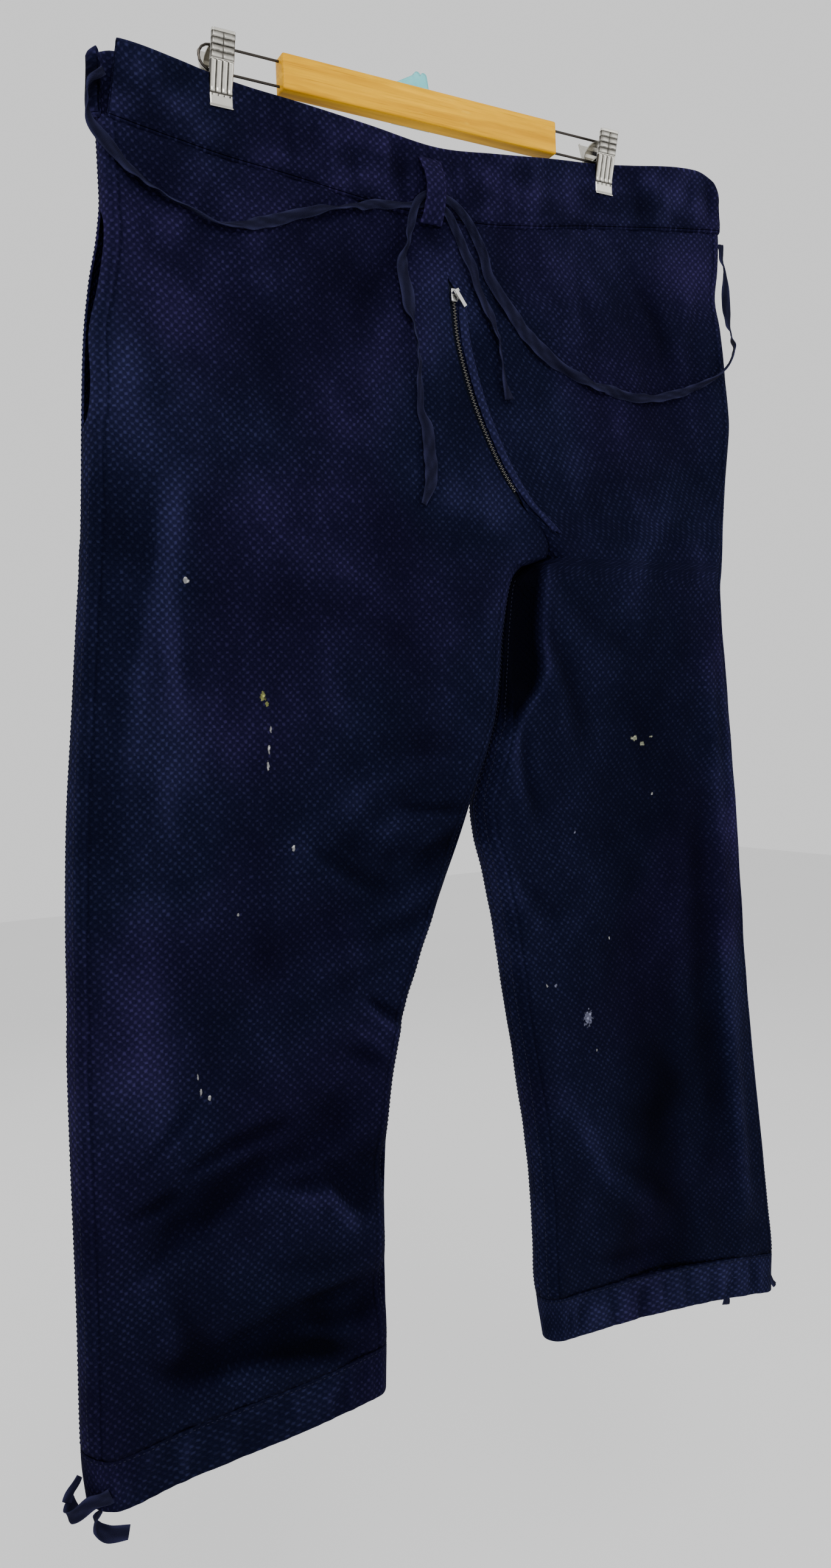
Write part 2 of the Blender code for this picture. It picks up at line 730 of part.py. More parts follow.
def through(points, count):
    """Points along a smooth curve through hand-chosen ones, columns and all."""
    rows = np.array(points, float)
    along = np.concatenate([[0], np.cumsum(np.linalg.norm(np.diff(rows[:, :3], axis=0), axis=1))])
    table = [(a, *row) for a, row in zip(along, rows, strict=True)]
    at = np.linspace(0, along[-1], count)
    return np.stack([smooth(table, at, k + 1) for k in range(rows.shape[1])], axis=1)


def tape(name, route, count):
    """A flat tape along a route of x, down, y, width and turn; turn 0 lies flat on the wall."""
    rows = through([(x, y, -down, wide, math.radians(turn)) for x, down, y, wide, turn in route], count)
    mesh = bmesh.new()
    last = None
    for i, (x, y, z, wide, turn) in enumerate(rows):
        before, after = rows[max(i - 1, 0)][:3], rows[min(i + 1, len(rows) - 1)][:3]
        run = Vector(after - before).normalized()
        flat = run.cross(Vector((0.0, 1.0, 0.0))).normalized()
        off = flat.cross(run)
        side = flat * math.cos(turn) + off * math.sin(turn)
        up = side.cross(run)
        here = Vector((x, y, z))
        corners = [(-1, -1), (1, -1), (1, 1), (-1, 1)]
        ring = [mesh.verts.new(here + side * a * wide / 2 + up * b * TAPE_THICK / 2) for a, b in corners]
        if last is None:
            mesh.faces.new(ring)
        else:
            for a in range(4):
                b = (a + 1) % 4
                mesh.faces.new((last[a], last[b], ring[b], ring[a]))
        last = ring
    mesh.faces.new(reversed(last))
    bmesh.ops.recalc_face_normals(mesh, faces=mesh.faces)
    return new_object(name, mesh, "tape")


def folded_tape(name, points, side, wide, count):
    """A flat tape that turns back on itself, its width always along the same side."""
    path = through([(x, y, -down) for x, down, y in points], count)

    def place(u, v):
        return Vector(path[round(v * (count - 1))]) + Vector(side) * wide * (u - 0.5)

    return cloth(name, place, spread(1), spread(count - 1), TAPE_THICK, "tape", flip=True)


def laid(route):
    """A route whose third column is its lift off the cloth, turned into one with its y."""
    return [(x, down, front_y(x, down) - lift, wide, turn) for x, down, lift, wide, turn in route]


def box(name, low, high, material, chamfer=0.0):
    """A block between two corners."""
    mesh = bmesh.new()
    bmesh.ops.create_cube(mesh, size=1.0)
    low, high = Vector(low), Vector(high)
    for vert in mesh.verts:
        vert.co = [low[k] + (high[k] - low[k]) * (vert.co[k] + 0.5) for k in range(3)]
    made = new_object(name, mesh, material, 30)
    if chamfer:
        edge = made.modifiers.new("Chamfer", "BEVEL")
        edge.width = chamfer
        edge.segments = 2
    return made


def outline(name, points, axis, start, end, material):
    """A flat outline pushed through from start to end along one axis."""
    mesh = bmesh.new()
    verts = []
    for a, b in points:
        place = [a, b]
        place.insert(axis, start)
        verts.append(mesh.verts.new(place))
    face = mesh.faces.new(verts)
    pushed = bmesh.ops.extrude_face_region(mesh, geom=[face])
    for vert in pushed["geom"]:
        if isinstance(vert, bmesh.types.BMVert):
            vert.co[axis] = end
    bmesh.ops.recalc_face_normals(mesh, faces=mesh.faces)
    return new_object(name, mesh, material, 40)


def hide_tool(thing):
    """Marks an object as a tool that only shapes others."""
    thing.hide_render = True
    thing.display_type = "WIRE"
    return thing


def combine(target, tool, how):
    """Joins the tool to the target, or cuts it out of it."""
    step = target.modifiers.new(how.title(), "BOOLEAN")
    step.operation = how
    step.object = hide_tool(tool)
    return target


def round_bar(name, start, end, radius, material, sides=12):
    """A plain round bar between two points."""
    start, end = Vector(start), Vector(end)
    mesh = bmesh.new()
    turn = (end - start).to_track_quat("Z", "Y").to_matrix().to_4x4()
    turn.translation = (start + end) / 2
    bmesh.ops.create_cone(
        mesh,
        cap_ends=True,
        segments=sides,
        radius1=radius,
        radius2=radius,
        depth=(end - start).length,
        matrix=turn,
    )
    return new_object(name, mesh, material, 40)


def wire(name, hand, bar_end, clip_x):
    """The steel wire of one side: out of the bar, round behind the clip and back."""
    reach = clip_x + hand * WIRE_PAST
    points = [(bar_end + hand * GAP, WIRE_HALF_GAP)]
    points += [(bar_end + (reach - bar_end) * share, WIRE_HALF_GAP) for share in (0.5, 1.0)]
    bends = [
        (reach + hand * WIRE_HALF_GAP * math.sin(a), WIRE_HALF_GAP * math.cos(a))
        for a in (math.pi * i / 8 for i in range(1, 8))
    ]
    points += bends + [(x, -z) for x, z in reversed(points)]
    data = bpy.data.curves.new(name, "CURVE")
    data.dimensions = "3D"
    data.bevel_depth = WIRE_THICK / 2
    data.bevel_resolution = 2
    data.use_fill_caps = True
    line = data.splines.new("POLY")
    line.points.add(len(points) - 1)
    for point, (x, z) in zip(line.points, points, strict=True):
        point.co = (x, BAR_Y, z, 1.0)
    data.materials.append(finish("wire"))
    made = bpy.data.objects.new(name, data)
    bpy.context.scene.collection.objects.link(made)
    return made


def clip(name, x):
    """A spring clip: a front plate, a back plate and the bent spring between them."""
    jaw = CLIP_LONG - CLIP_LEAN_FROM
    front = middle(PINCH_DOWN) - PINCHED_HALF - 2 * GAP
    back = middle(PINCH_DOWN) + PINCHED_HALF + 2 * GAP

    def plate(side, face):
        def place(u, v):
            down = CLIP_LONG * v
            lean = CLIP_SPLAY * max(0.0, 1 - down / CLIP_LEAN_FROM)
            lip = CLIP_LIP * max(0.0, (down - CLIP_LONG + jaw / 3) / (jaw / 3))
            y = face + side * (CLIP_PLATE + lean + lip)
            return Vector((x + (u - 0.5) * CLIP_WIDE, y, CLIP_TOP - down))

        return place

    steps = spread(4, 0.0, CLIP_LEAN_FROM / CLIP_LONG) + spread(3, CLIP_LEAN_FROM / CLIP_LONG, 1.0)[1:]
    cloth(name + "_front", plate(-1, front), spread(2), steps, CLIP_PLATE, "steel", flip=True)
    cloth(name + "_back", plate(1, back), spread(2), steps, CLIP_PLATE, "steel")
    half = WIRE_HALF_GAP - WIRE_THICK / 2 - GAP
    slope = CLIP_SPLAY / CLIP_LEAN_FROM
    apart = (back - front) / 2 + CLIP_SPLAY - slope * CLIP_TOP
    deep = math.sqrt((apart - GAP) ** 2 - (slope * half) ** 2)

    def loop(u, v):
        angle = 2 * math.pi * u
        y = (front + back) / 2 - deep * math.sin(angle)
        return Vector((x + (v - 0.5) * SPRING_LONG, y, half * math.cos(angle)))

    cloth(name + "_spring", loop, spread(16), spread(1), SPRING_THICK, "steel", ring=True)


def slider_and_pull():
    """The zip's slider with its pull tab, which hinges on a pin between two lugs."""
    down = FLY_TOP + SLIDER_LONG / 2
    line = float(smooth(RIGHT_EDGES, down, 2))
    x = line + ZIP_GAP / 2
    face = front_y(line + 0.001, down) - SLIDER_OFF
    body = box(
        "zip_slider",
        (x - SLIDER_WIDE / 2, face - SLIDER_THICK, -down - SLIDER_LONG / 2),
        (x + SLIDER_WIDE / 2, face, -down + SLIDER_LONG / 2),
        "steel",
        0.0006,
    )
    pin = Vector((x, face - SLIDER_THICK - PULL_STAND, -down + SLIDER_LONG * 0.2))
    axis = Vector((math.cos(PULL_TURN), 0.0, math.sin(PULL_TURN)))
    along = Vector((math.sin(PULL_TURN), 0.0, -math.cos(PULL_TURN)))
    reach = PULL_WIDE / 2 + GAP + LUG_THICK
    for hand in (-1, 1):
        middle_of_lug = pin + axis * hand * (PULL_WIDE / 2 + GAP + LUG_THICK / 2)
        lug = box(f"lug_{hand}", (-0.5, -0.5, -0.5), (0.5, 0.5, 0.5), "steel")
        for vert in lug.data.vertices:
            across, out, up = vert.co
            place = middle_of_lug + axis * across * LUG_THICK + along * up * LUG_LONG
            place.y += (0.5 + out) * (PULL_STAND + 0.0004) - 0.5 * LUG_LONG * (0.5 - out)
            vert.co = place
        combine(body, lug, "UNION")
    combine(body, round_bar("pin", pin - axis * reach, pin + axis * reach, PIN_RADIUS, "steel"), "UNION")
    tab = box("zip_pull", (-0.5, -0.5, -0.5), (0.5, 0.5, 0.5), "steel")
    for vert in tab.data.vertices:
        across, out, up = vert.co
        thick = PULL_EYE if up > 0 else PULL_THICK
        place = pin + axis * across * PULL_WIDE + along * (PULL_LONG * (0.5 - up) - PULL_EYE / 2)
        place.y += out * thick
        vert.co = place
    hole = round_bar("eye", pin - axis * 0.01, pin + axis * 0.01, PIN_RADIUS + GAP, "steel")
    combine(tab, hole, "DIFFERENCE")
    return pin, axis


def wall_hook():
    """The hook on the wall: a plate with a two-lobed tip and an upturned peg."""
    half = HOOK_WIDE / 2
    lobes = []
    for centre in (TIP_X + TIP_WIDE / 4, TIP_X - TIP_WIDE / 4):
        radius = TIP_WIDE / 4
        for i in range(7):
            angle = math.pi * i / 6
            lobes.append((centre + radius * math.cos(angle), TIP_HIGH - radius * (1 - math.sin(angle))))
    points = [(half, HOOK_LOW), (half, HOOK_HIGH)] + lobes + [(-half, HOOK_HIGH), (-half, HOOK_LOW)]
    body = outline("wall_hook", points, 1, -HOOK_PLATE, 0.0, "plastic")
    inner = -HOOK_PLATE + 0.0005
    tip = -PEG_REACH - PEG_THICK
    profile = [
        (inner, PEG_LOW),
        (tip, PEG_LOW),
        (tip, PEG_TOP),
        (tip + PEG_TIP, PEG_TOP),
        (tip + PEG_TIP, PEG_LOW + PEG_THICK),
        (inner, PEG_LOW + PEG_THICK),
    ]
    peg = outline("peg", profile, 0, -PEG_WIDE / 2, PEG_WIDE / 2, "plastic")
    combine(body, peg, "UNION")


def hanger_eye():
    """The steel eye on the back of the bar that the peg goes up through."""
    back = BAR_Y + BAR_DEEP / 2 + GAP
    low = PEG_LOW + PEG_THICK + GAP
    wide = PEG_WIDE / 2 + 0.0012
    points = [
        (-wide - EYE_THICK, back),
        (-wide, back),
        (-wide, EYE_FAR - EYE_THICK),
        (wide, EYE_FAR - EYE_THICK),
        (wide, back),
        (wide + EYE_THICK, back),
        (wide + EYE_THICK, EYE_FAR),
        (-wide - EYE_THICK, EYE_FAR),
    ]
    outline("hanger_eye", points, 2, low, low + EYE_HIGH, "steel")


def hanger():
    """The wooden bar with its wires, clips and eye."""
    half = BAR_LONG / 2
    box(
        "hanger_bar",
        (BAR_X - half, BAR_Y - BAR_DEEP / 2, -BAR_HIGH / 2),
        (BAR_X + half, BAR_Y + BAR_DEEP / 2, BAR_HIGH / 2),
        "wood",
        BAR_CHAMFER,
    )
    for side, hand, x in (("left", -1, CLIP_X[0]), ("right", 1, CLIP_X[1])):
        wire(f"hanger_wire_{side}", hand, BAR_X + hand * half, x)
        clip(f"clip_{side}", x)
    hanger_eye()


def main():
    """Makes every piece."""
    clear()
    panel("front_left", LEFT_EDGES, LEFT_HEM, -1)
    panel("front_right", RIGHT_EDGES, RIGHT_HEM, -1)
    panel("back_left", LEFT_EDGES, LEFT_HEM, 1)
    panel("back_right", RIGHT_EDGES, RIGHT_HEM, 1)
    band_front("waistband_front_left", SLIT_X, MIDDLE_X - GAP / 2)
    band_front("waistband_front_right", MIDDLE_X + GAP / 2, RIGHT_EDGES[0][1])
    band_back()
    hem("hem_left", LEFT_EDGES, LEFT_HEM)
    hem("hem_right", RIGHT_EDGES, RIGHT_HEM)
    belt_loop()
    pocket_facing("pocket_facing_left", LEFT_EDGES)
    pocket_facing("pocket_facing_right", RIGHT_EDGES)
    tape_left = ZIP_GAP / 2 - ZIP_TAPE_WIDE / 2
    fly_strip("zip_tape", 0.130, 0.302, tape_left, ZIP_TAPE_WIDE, -ZIP_TAPE_BEHIND, 0.001, "tape")
    teeth_left = ZIP_GAP / 2 - TEETH_WIDE / 2
    fly_strip("zip_teeth", FLY_TOP, FLY_END, teeth_left, TEETH_WIDE, -0.0001, TEETH_THICK, "steel")
    welt_off = GAP + WELT_THICK
    fly_strip(
        "fly_welt", WELT_TOP, 0.325, ZIP_GAP + GAP, WELT_WIDE, welt_off, WELT_THICK, "indigo", 0.0008, 3
    )
    slider_and_pull()
    tape("drawstring_left", laid(DRAWSTRING_LEFT), 44)
    tape("drawstring_right", laid(DRAWSTRING_RIGHT), 60)
    tape("hem_tie_left_end", TIE_LEFT_END, 6)
    tape("hem_tie_left_curl", TIE_LEFT_CURL, 12)
    folded_tape("hem_tie_left_loop", TIE_LOOP, TIE_LOOP_SIDE, TIE_LOOP_WIDE, 14)
    tape("hem_tie_right_end", TIE_RIGHT_END, 6)
    tape("hem_tie_right_nub", TIE_RIGHT_NUB, 3)
    hanger()
    wall_hook()


main()
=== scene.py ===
"""Drawstring trousers on a clip hanger: cloth, tapes, zip and hanger, dressed over the frame.

Metres, +Z up. The wall is y = 0 and the trousers' front faces -Y. Left and right are as seen
from the front. Heights in the tables are distances down from the origin.
"""

import json
import math

import bmesh
import bpy
import numpy as np
from bpy.props import FloatProperty, FloatVectorProperty, IntProperty, PointerProperty
from mathutils import Matrix, Vector

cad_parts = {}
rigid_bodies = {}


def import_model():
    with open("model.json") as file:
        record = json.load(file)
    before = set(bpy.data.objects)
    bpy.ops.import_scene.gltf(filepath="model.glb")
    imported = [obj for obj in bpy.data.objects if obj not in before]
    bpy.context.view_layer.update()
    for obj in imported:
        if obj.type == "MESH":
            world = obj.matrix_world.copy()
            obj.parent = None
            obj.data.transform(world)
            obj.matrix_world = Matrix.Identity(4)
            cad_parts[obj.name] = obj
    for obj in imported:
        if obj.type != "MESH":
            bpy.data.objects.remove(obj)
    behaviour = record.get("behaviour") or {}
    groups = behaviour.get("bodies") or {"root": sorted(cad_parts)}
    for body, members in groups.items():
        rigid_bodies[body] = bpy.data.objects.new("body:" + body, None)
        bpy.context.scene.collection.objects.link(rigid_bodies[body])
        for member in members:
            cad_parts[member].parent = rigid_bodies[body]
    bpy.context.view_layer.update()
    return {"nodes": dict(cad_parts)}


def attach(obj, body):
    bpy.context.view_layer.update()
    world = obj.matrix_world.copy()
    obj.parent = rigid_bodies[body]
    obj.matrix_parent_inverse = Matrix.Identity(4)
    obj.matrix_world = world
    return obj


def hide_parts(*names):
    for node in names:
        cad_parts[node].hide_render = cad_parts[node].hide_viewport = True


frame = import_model()

bl_info = {
    "name": "Drawstring trousers",
    "version": (1, 0, 0),
    "blender": (4, 5, 0),
    "location": "View3D > Sidebar > Trousers",
    "description": "Builds hanging drawstring trousers, their zip, tapes and clip hanger",
    "category": "Object",
}

BODY = "trousers"
WALL_GAP = 0.0003
SEAM_LAP = 0.0004

# Heights down from the origin, shared with the solids
SEAM_DOWN = 0.0845
HEM_DOWN = 0.9645
CROTCH = 0.345
CROTCH_TURN = 0.050
HEM_DEEP = 0.037
CASING = 0.004
HEM_WALL = 0.003

# Edges of each half: a row for each height, with the outer edge and the inner edge
LEFT_EDGES = (
    (0.040, -0.258, 0.002),
    (0.084, -0.257, 0.003),
    (0.110, -0.257, 0.007),
    (0.137, -0.260, 0.010),
    (0.170, -0.267, 0.011),
    (0.212, -0.273, 0.019),
    (0.266, -0.277, 0.039),
    (0.300, -0.279, 0.060),
    (0.332, -0.281, 0.092),
    (0.345, -0.282, 0.096),
    (0.352, -0.283, 0.072),
    (0.366, -0.284, 0.060),
    (0.395, -0.287, 0.053),
    (0.467, -0.294, 0.042),
    (0.527, -0.300, 0.0215),
    (0.563, -0.3025, 0.007),
    (0.614, -0.305, -0.0165),
    (0.665, -0.3065, -0.039),
    (0.691, -0.308, -0.0495),
    (0.747, -0.309, -0.0630),
    (0.791, -0.3095, -0.0700),
    (0.862, -0.310, -0.0745),
    (0.970, -0.312, -0.0765),
    (1.020, -0.308, -0.0800),
)
RIGHT_EDGES = (
    (0.040, 0.301, 0.002),
    (0.084, 0.297, 0.003),
    (0.110, 0.293, 0.007),
    (0.137, 0.298, 0.010),
    (0.170, 0.3015, 0.011),
    (0.212, 0.3035, 0.019),
    (0.266, 0.296, 0.039),
    (0.300, 0.291, 0.060),
    (0.332, 0.287, 0.092),
    (0.345, 0.286, 0.0960),
    (0.352, 0.2855, 0.0718),
    (0.366, 0.284, 0.0600),
    (0.395, 0.285, 0.0550),
    (0.467, 0.289, 0.0460),
    (0.500, 0.2915, 0.0360),
    (0.527, 0.293, 0.0260),
    (0.545, 0.294, 0.0215),
    (0.566, 0.2955, 0.0235),
    (0.594, 0.2975, 0.0305),
    (0.622, 0.299, 0.0355),
    (0.650, 0.3005, 0.0405),
    (0.707, 0.304, 0.0475),
    (0.765, 0.3085, 0.0565),
    (0.823, 0.314, 0.0640),
    (0.882, 0.3205, 0.0685),
    (0.940, 0.327, 0.0690),
    (0.985, 0.3315, 0.0735),
    (1.020, 0.3305, 0.0800),
)
OPEN_EDGES = tuple((down, -0.5, inner) for down, _, inner in LEFT_EDGES)

# Front and back of the hanging cloth: a row for each height, with the y of each wall
CLOTH_DEPTHS = (
    (0.020, -0.029, -0.011),
    (0.080, -0.031, -0.010),
    (0.200, -0.036, -0.008),
    (0.345, -0.044, -0.006),
    (0.500, -0.043, -0.006),
    (0.800, -0.041, -0.007),
    (0.960, -0.037, -0.009),
    (1.020, -0.034, -0.011),
)

# Lines across the cloth: a row for each x, with the height down
WAIST_TOP = (
    (-0.263, 0.018),
    (-0.240, 0.0095),
    (-0.203, 0.0125),
    (-0.137, 0.021),
    (-0.050, 0.029),
    (0.005, 0.034),
    (0.063, 0.028),
    (0.132, 0.019),
    (0.200, 0.010),
    (0.270, 0.002),
    (0.290, 0.008),
    (0.304, 0.030),
)
WAIST_SEAM = (
    (-0.263, 0.058),
    (-0.222, 0.064),
    (-0.137, 0.074),
    (-0.050, 0.083),
    (0.030, 0.085),
    (0.092, 0.078),
    (0.163, 0.065),
    (0.240, 0.055),
    (0.304, 0.047),
)
LEFT_HEM = ((-0.315, 1.001), (-0.290, 1.010), (-0.240, 1.004), (-0.140, 0.997), (-0.075, 0.988))
RIGHT_HEM = ((0.078, 0.996), (0.155, 0.998), (0.255, 1.007), (0.340, 1.019))

# Angles of the steps round a folded edge
TURN_STEPS = (0.25 * math.pi, 0.5 * math.pi, 0.75 * math.pi)

# The casing's open left end, and how the clips pinch it
MIDDLE_X = -0.003
SLIT_X = -0.242
SLIT_SLANT = 0.009
BACK_LOWER = 0.002
CURL_X = -0.2485
CURL_SHARE = 0.93
CURL_ANGLE = math.radians(140)
CURL_OUT = 0.003
CLIP_X = (-0.168, 0.171)
PINCH_WIDE = 0.042
PINCH_DOWN = 0.030
PINCH_FADE = 0.055
PINCHED_HALF = 0.0046

# Large folds: x and height down of the start and the end, half width, depth
FRONT_FOLDS = (
    (-0.205, 0.250, -0.262, 0.560, 0.024, -0.004),
    (-0.150, 0.640, 0.005, 0.560, 0.030, 0.006),
    (-0.240, 0.815, -0.120, 0.765, 0.020, 0.008),
    (-0.130, 0.795, -0.060, 0.820, 0.018, 0.008),
    (-0.235, 0.925, -0.085, 0.905, 0.018, 0.009),
    (0.165, 0.480, 0.195, 0.960, 0.045, 0.007),
    (0.257, 0.430, 0.284, 0.930, 0.014, -0.005),
    (0.090, 0.800, 0.190, 0.900, 0.020, -0.004),
    (0.190, 0.110, 0.250, 0.260, 0.030, 0.005),
    (-0.225, 0.095, -0.150, 0.200, 0.024, 0.004),
    (-0.020, 0.100, -0.110, 0.190, 0.026, 0.004),
    (0.072, 0.378, 0.067, 0.442, 0.010, 0.009),
)
BACK_FOLDS = (
    (-0.230, 0.500, -0.120, 0.420, 0.030, 0.003),
    (-0.250, 0.840, -0.110, 0.800, 0.024, 0.004),
    (0.120, 0.560, 0.240, 0.500, 0.030, 0.003),
    (0.120, 0.880, 0.280, 0.920, 0.024, 0.004),
)

# Small creases, seen in the cloth alone: start, end, half width, depth, and bow of the line
FRONT_CREASES = (
    (-0.279, 0.806, -0.233, 0.795, 0.0055, 0.0030, 0.003),
    (-0.237, 0.786, -0.154, 0.764, 0.0060, 0.0042, -0.004),
    (-0.165, 0.806, -0.114, 0.812, 0.0060, 0.0034, 0.003),
    (-0.122, 0.812, -0.089, 0.846, 0.0065, 0.0044, 0.002),
    (-0.149, 0.903, -0.100, 0.898, 0.0055, 0.0040, 0.003),
    (-0.226, 0.930, -0.106, 0.948, 0.0085, 0.0044, -0.006),
    (-0.245, 0.869, -0.223, 0.923, 0.0080, 0.0020, 0.004),
    (-0.088, 0.680, -0.055, 0.704, 0.0045, 0.0044, 0.001),
    (-0.267, 0.776, -0.225, 0.734, 0.0040, 0.0018, 0.002),
    (-0.058, 0.538, 0.010, 0.543, 0.0045, 0.0026, 0.001),
    (-0.130, 0.560, -0.060, 0.602, 0.0065, 0.0022, 0.004),
    (0.004, 0.560, -0.055, 0.600, 0.0060, 0.0018, 0.003),
    (-0.230, 0.300, -0.232, 0.440, 0.0045, -0.0014, 0.004),
    (-0.215, 0.300, -0.266, 0.530, 0.0070, -0.0014, 0.006),
    (-0.020, 0.520, -0.130, 0.590, 0.0120, 0.0020, 0.010),
    (0.004, 0.575, -0.120, 0.560, 0.0100, 0.0016, -0.006),
    (0.025, 0.500, -0.090, 0.500, 0.0110, 0.0012, 0.008),
    (-0.015, 0.610, -0.105, 0.640, 0.0080, 0.0022, -0.006),
    (-0.035, 0.650, -0.170, 0.700, 0.0110, 0.0014, 0.008),
    (-0.075, 0.735, -0.110, 0.715, 0.0070, 0.0030, 0.002),
    (-0.230, 0.830, -0.165, 0.792, 0.0090, 0.0026, -0.005),
    (-0.165, 0.792, -0.105, 0.772, 0.0080, 0.0022, 0.003),
    (-0.285, 0.850, -0.225, 0.812, 0.0080, 0.0016, 0.003),
    (-0.125, 0.800, -0.085, 0.835, 0.0080, 0.0030, 0.004),
    (-0.270, 0.910, -0.225, 0.930, 0.0090, 0.0018, 0.004),
    (-0.225, 0.935, -0.150, 0.915, 0.0085, 0.0034, -0.004),
    (-0.150, 0.912, -0.085, 0.918, 0.0080, 0.0026, 0.004),
    (-0.170, 0.865, -0.090, 0.872, 0.0100, 0.0016, 0.005),
    (-0.040, 0.420, -0.150, 0.380, 0.0160, 0.0012, 0.010),
    (0.060, 0.350, -0.060, 0.330, 0.0150, 0.0010, 0.012),
    (-0.235, 0.110, -0.190, 0.170, 0.0100, 0.0012, 0.006),
    (-0.175, 0.085, -0.205, 0.150, 0.0080, 0.0011, -0.004),
    (-0.085, 0.092, -0.150, 0.150, 0.0090, 0.0012, 0.005),
    (-0.020, 0.105, -0.070, 0.180, 0.0090, 0.0014, 0.006),
    (0.105, 0.335, 0.190, 0.270, 0.0140, 0.0014, -0.010),
    (0.100, 0.352, 0.175, 0.420, 0.0120, 0.0018, 0.010),
    (0.085, 0.400, 0.120, 0.500, 0.0090, 0.0024, -0.006),
    (0.062, 0.480, 0.075, 0.560, 0.0060, 0.0026, 0.004),
    (0.052, 0.600, 0.095, 0.640, 0.0090, 0.0016, 0.004),
    (0.268, 0.420, 0.288, 0.640, 0.0060, -0.0018, -0.004),
    (0.262, 0.640, 0.292, 0.920, 0.0065, -0.0022, 0.005),
    (0.240, 0.560, 0.262, 0.900, 0.0140, 0.0022, 0.006),
    (0.100, 0.800, 0.185, 0.905, 0.0100, -0.0018, 0.012),
    (0.115, 0.840, 0.230, 0.930, 0.0120, 0.0016, -0.008),
    (0.110, 0.930, 0.200, 0.945, 0.0080, 0.0016, 0.004),
    (0.245, 0.300, 0.200, 0.390, 0.0130, 0.0012, 0.010),
    (0.200, 0.105, 0.235, 0.180, 0.0080, 0.0014, -0.005),
    (0.140, 0.090, 0.150, 0.170, 0.0080, 0.0010, 0.004),
    (0.270, 0.100, 0.262, 0.200, 0.0080, 0.0012, 0.004),
)
BACK_CREASES = (
    (-0.250, 0.520, -0.140, 0.440, 0.0120, 0.0020, 0.010),
    (0.020, 0.500, -0.100, 0.470, 0.0110, 0.0016, -0.008),
    (-0.030, 0.640, -0.150, 0.690, 0.0100, 0.0018, 0.006),
    (-0.270, 0.850, -0.180, 0.810, 0.0090, 0.0026, 0.004),
    (-0.180, 0.805, -0.100, 0.830, 0.0090, 0.0022, -0.005),
    (-0.240, 0.930, -0.110, 0.915, 0.0085, 0.0024, 0.004),
    (0.100, 0.360, 0.200, 0.440, 0.0130, 0.0018, -0.010),
    (0.120, 0.580, 0.260, 0.510, 0.0120, 0.0018, 0.008),
    (0.060, 0.640, 0.150, 0.700, 0.0100, 0.0016, 0.006),
    (0.130, 0.870, 0.290, 0.910, 0.0090, 0.0024, 0.006),
    (0.260, 0.500, 0.300, 0.860, 0.0080, -0.0016, -0.005),
    (-0.120, 0.120, -0.060, 0.220, 0.0100, 0.0014, 0.006),
    (0.130, 0.110, 0.080, 0.210, 0.0100, 0.0014, -0.006),
    (0.060, 0.330, -0.060, 0.300, 0.0150, 0.0012, 0.010),
)

# Fly and zip
FLY_TOP = 0.140
FLY_END = 0.296
ZIP_GAP = 0.006
ZIP_TAPE_WIDE = 0.022
ZIP_TAPE_BEHIND = 0.0028
TEETH_PITCH = 0.0026
WELT_TOP = 0.153
WELT_END = 0.325
WELT_WIDE = 0.0085
WELT_THICK = 0.0024
TOOTH = (0.0023, 0.0015, 0.0008)

# Side pockets
POCKET_TOP = 0.124
POCKET_END = 0.268
POCKET_OPEN = 0.005
POCKET_FACING_WIDE = 0.034
FACING_IN = 0.0034
FACING_START = 0.0018

# Stitched lines: distances from a panel's edges, and the shares of its length where they start
SIDE_STITCHES = (0.0030, 0.0098)
INSEAM_STITCHES = (0.0030, 0.0110)
BELOW_POCKET = 0.235
BELOW_CROTCH = 0.315

# Belt loop
LOOP_X = -0.003
LOOP_WIDE = 0.019
LOOP_TOP = 0.043
LOOP_LONG = 0.050
LOOP_BOW = 0.0080
LOOP_THICK = 0.0018
LOOP_EASE = 0.0012

# The drawstring's two stretches: x, height down, lift off the cloth, width, turn in degrees
DRAWSTRING_LEFT = (
    (-0.2535, 0.033, 0.0048, 0.007, 20),
    (-0.2610, 0.040, 0.0130, 0.007, 40),
    (-0.2660, 0.052, 0.0105, 0.007, 60),
    (-0.2650, 0.064, 0.0105, 0.008, 40),
    (-0.2540, 0.080, 0.0060, 0.010, 20),
    (-0.2270, 0.100, 0.0035, 0.010, 20),
    (-0.2000, 0.113, 0.0035, 0.008, 30),
    (-0.1750, 0.121, 0.0035, 0.008, 30),
    (-0.1480, 0.117, 0.0035, 0.011, 10),
    (-0.1130, 0.104, 0.0035, 0.009, 20),
    (-0.0720, 0.091, 0.0035, 0.008, 20),
    (-0.0350, 0.083, 0.0034, 0.008, 10),
    (-0.0140, 0.0790, 0.0026, 0.007, 0),
    (-0.0030, 0.0775, 0.0026, 0.006, 0),
    (0.0080, 0.0800, 0.0030, 0.007, 0),
    (0.0170, 0.0940, 0.0040, 0.008, 0),
    (0.0250, 0.1120, 0.0045, 0.009, 0),
    (0.0330, 0.1320, 0.0045, 0.010, 10),
    (0.0430, 0.1560, 0.0045, 0.012, 10),
    (0.0520, 0.1800, 0.0045, 0.009, 10),
    (0.0545, 0.2020, 0.0045, 0.006, 10),
    (0.0580, 0.2220, 0.0045, 0.010, 10),
)
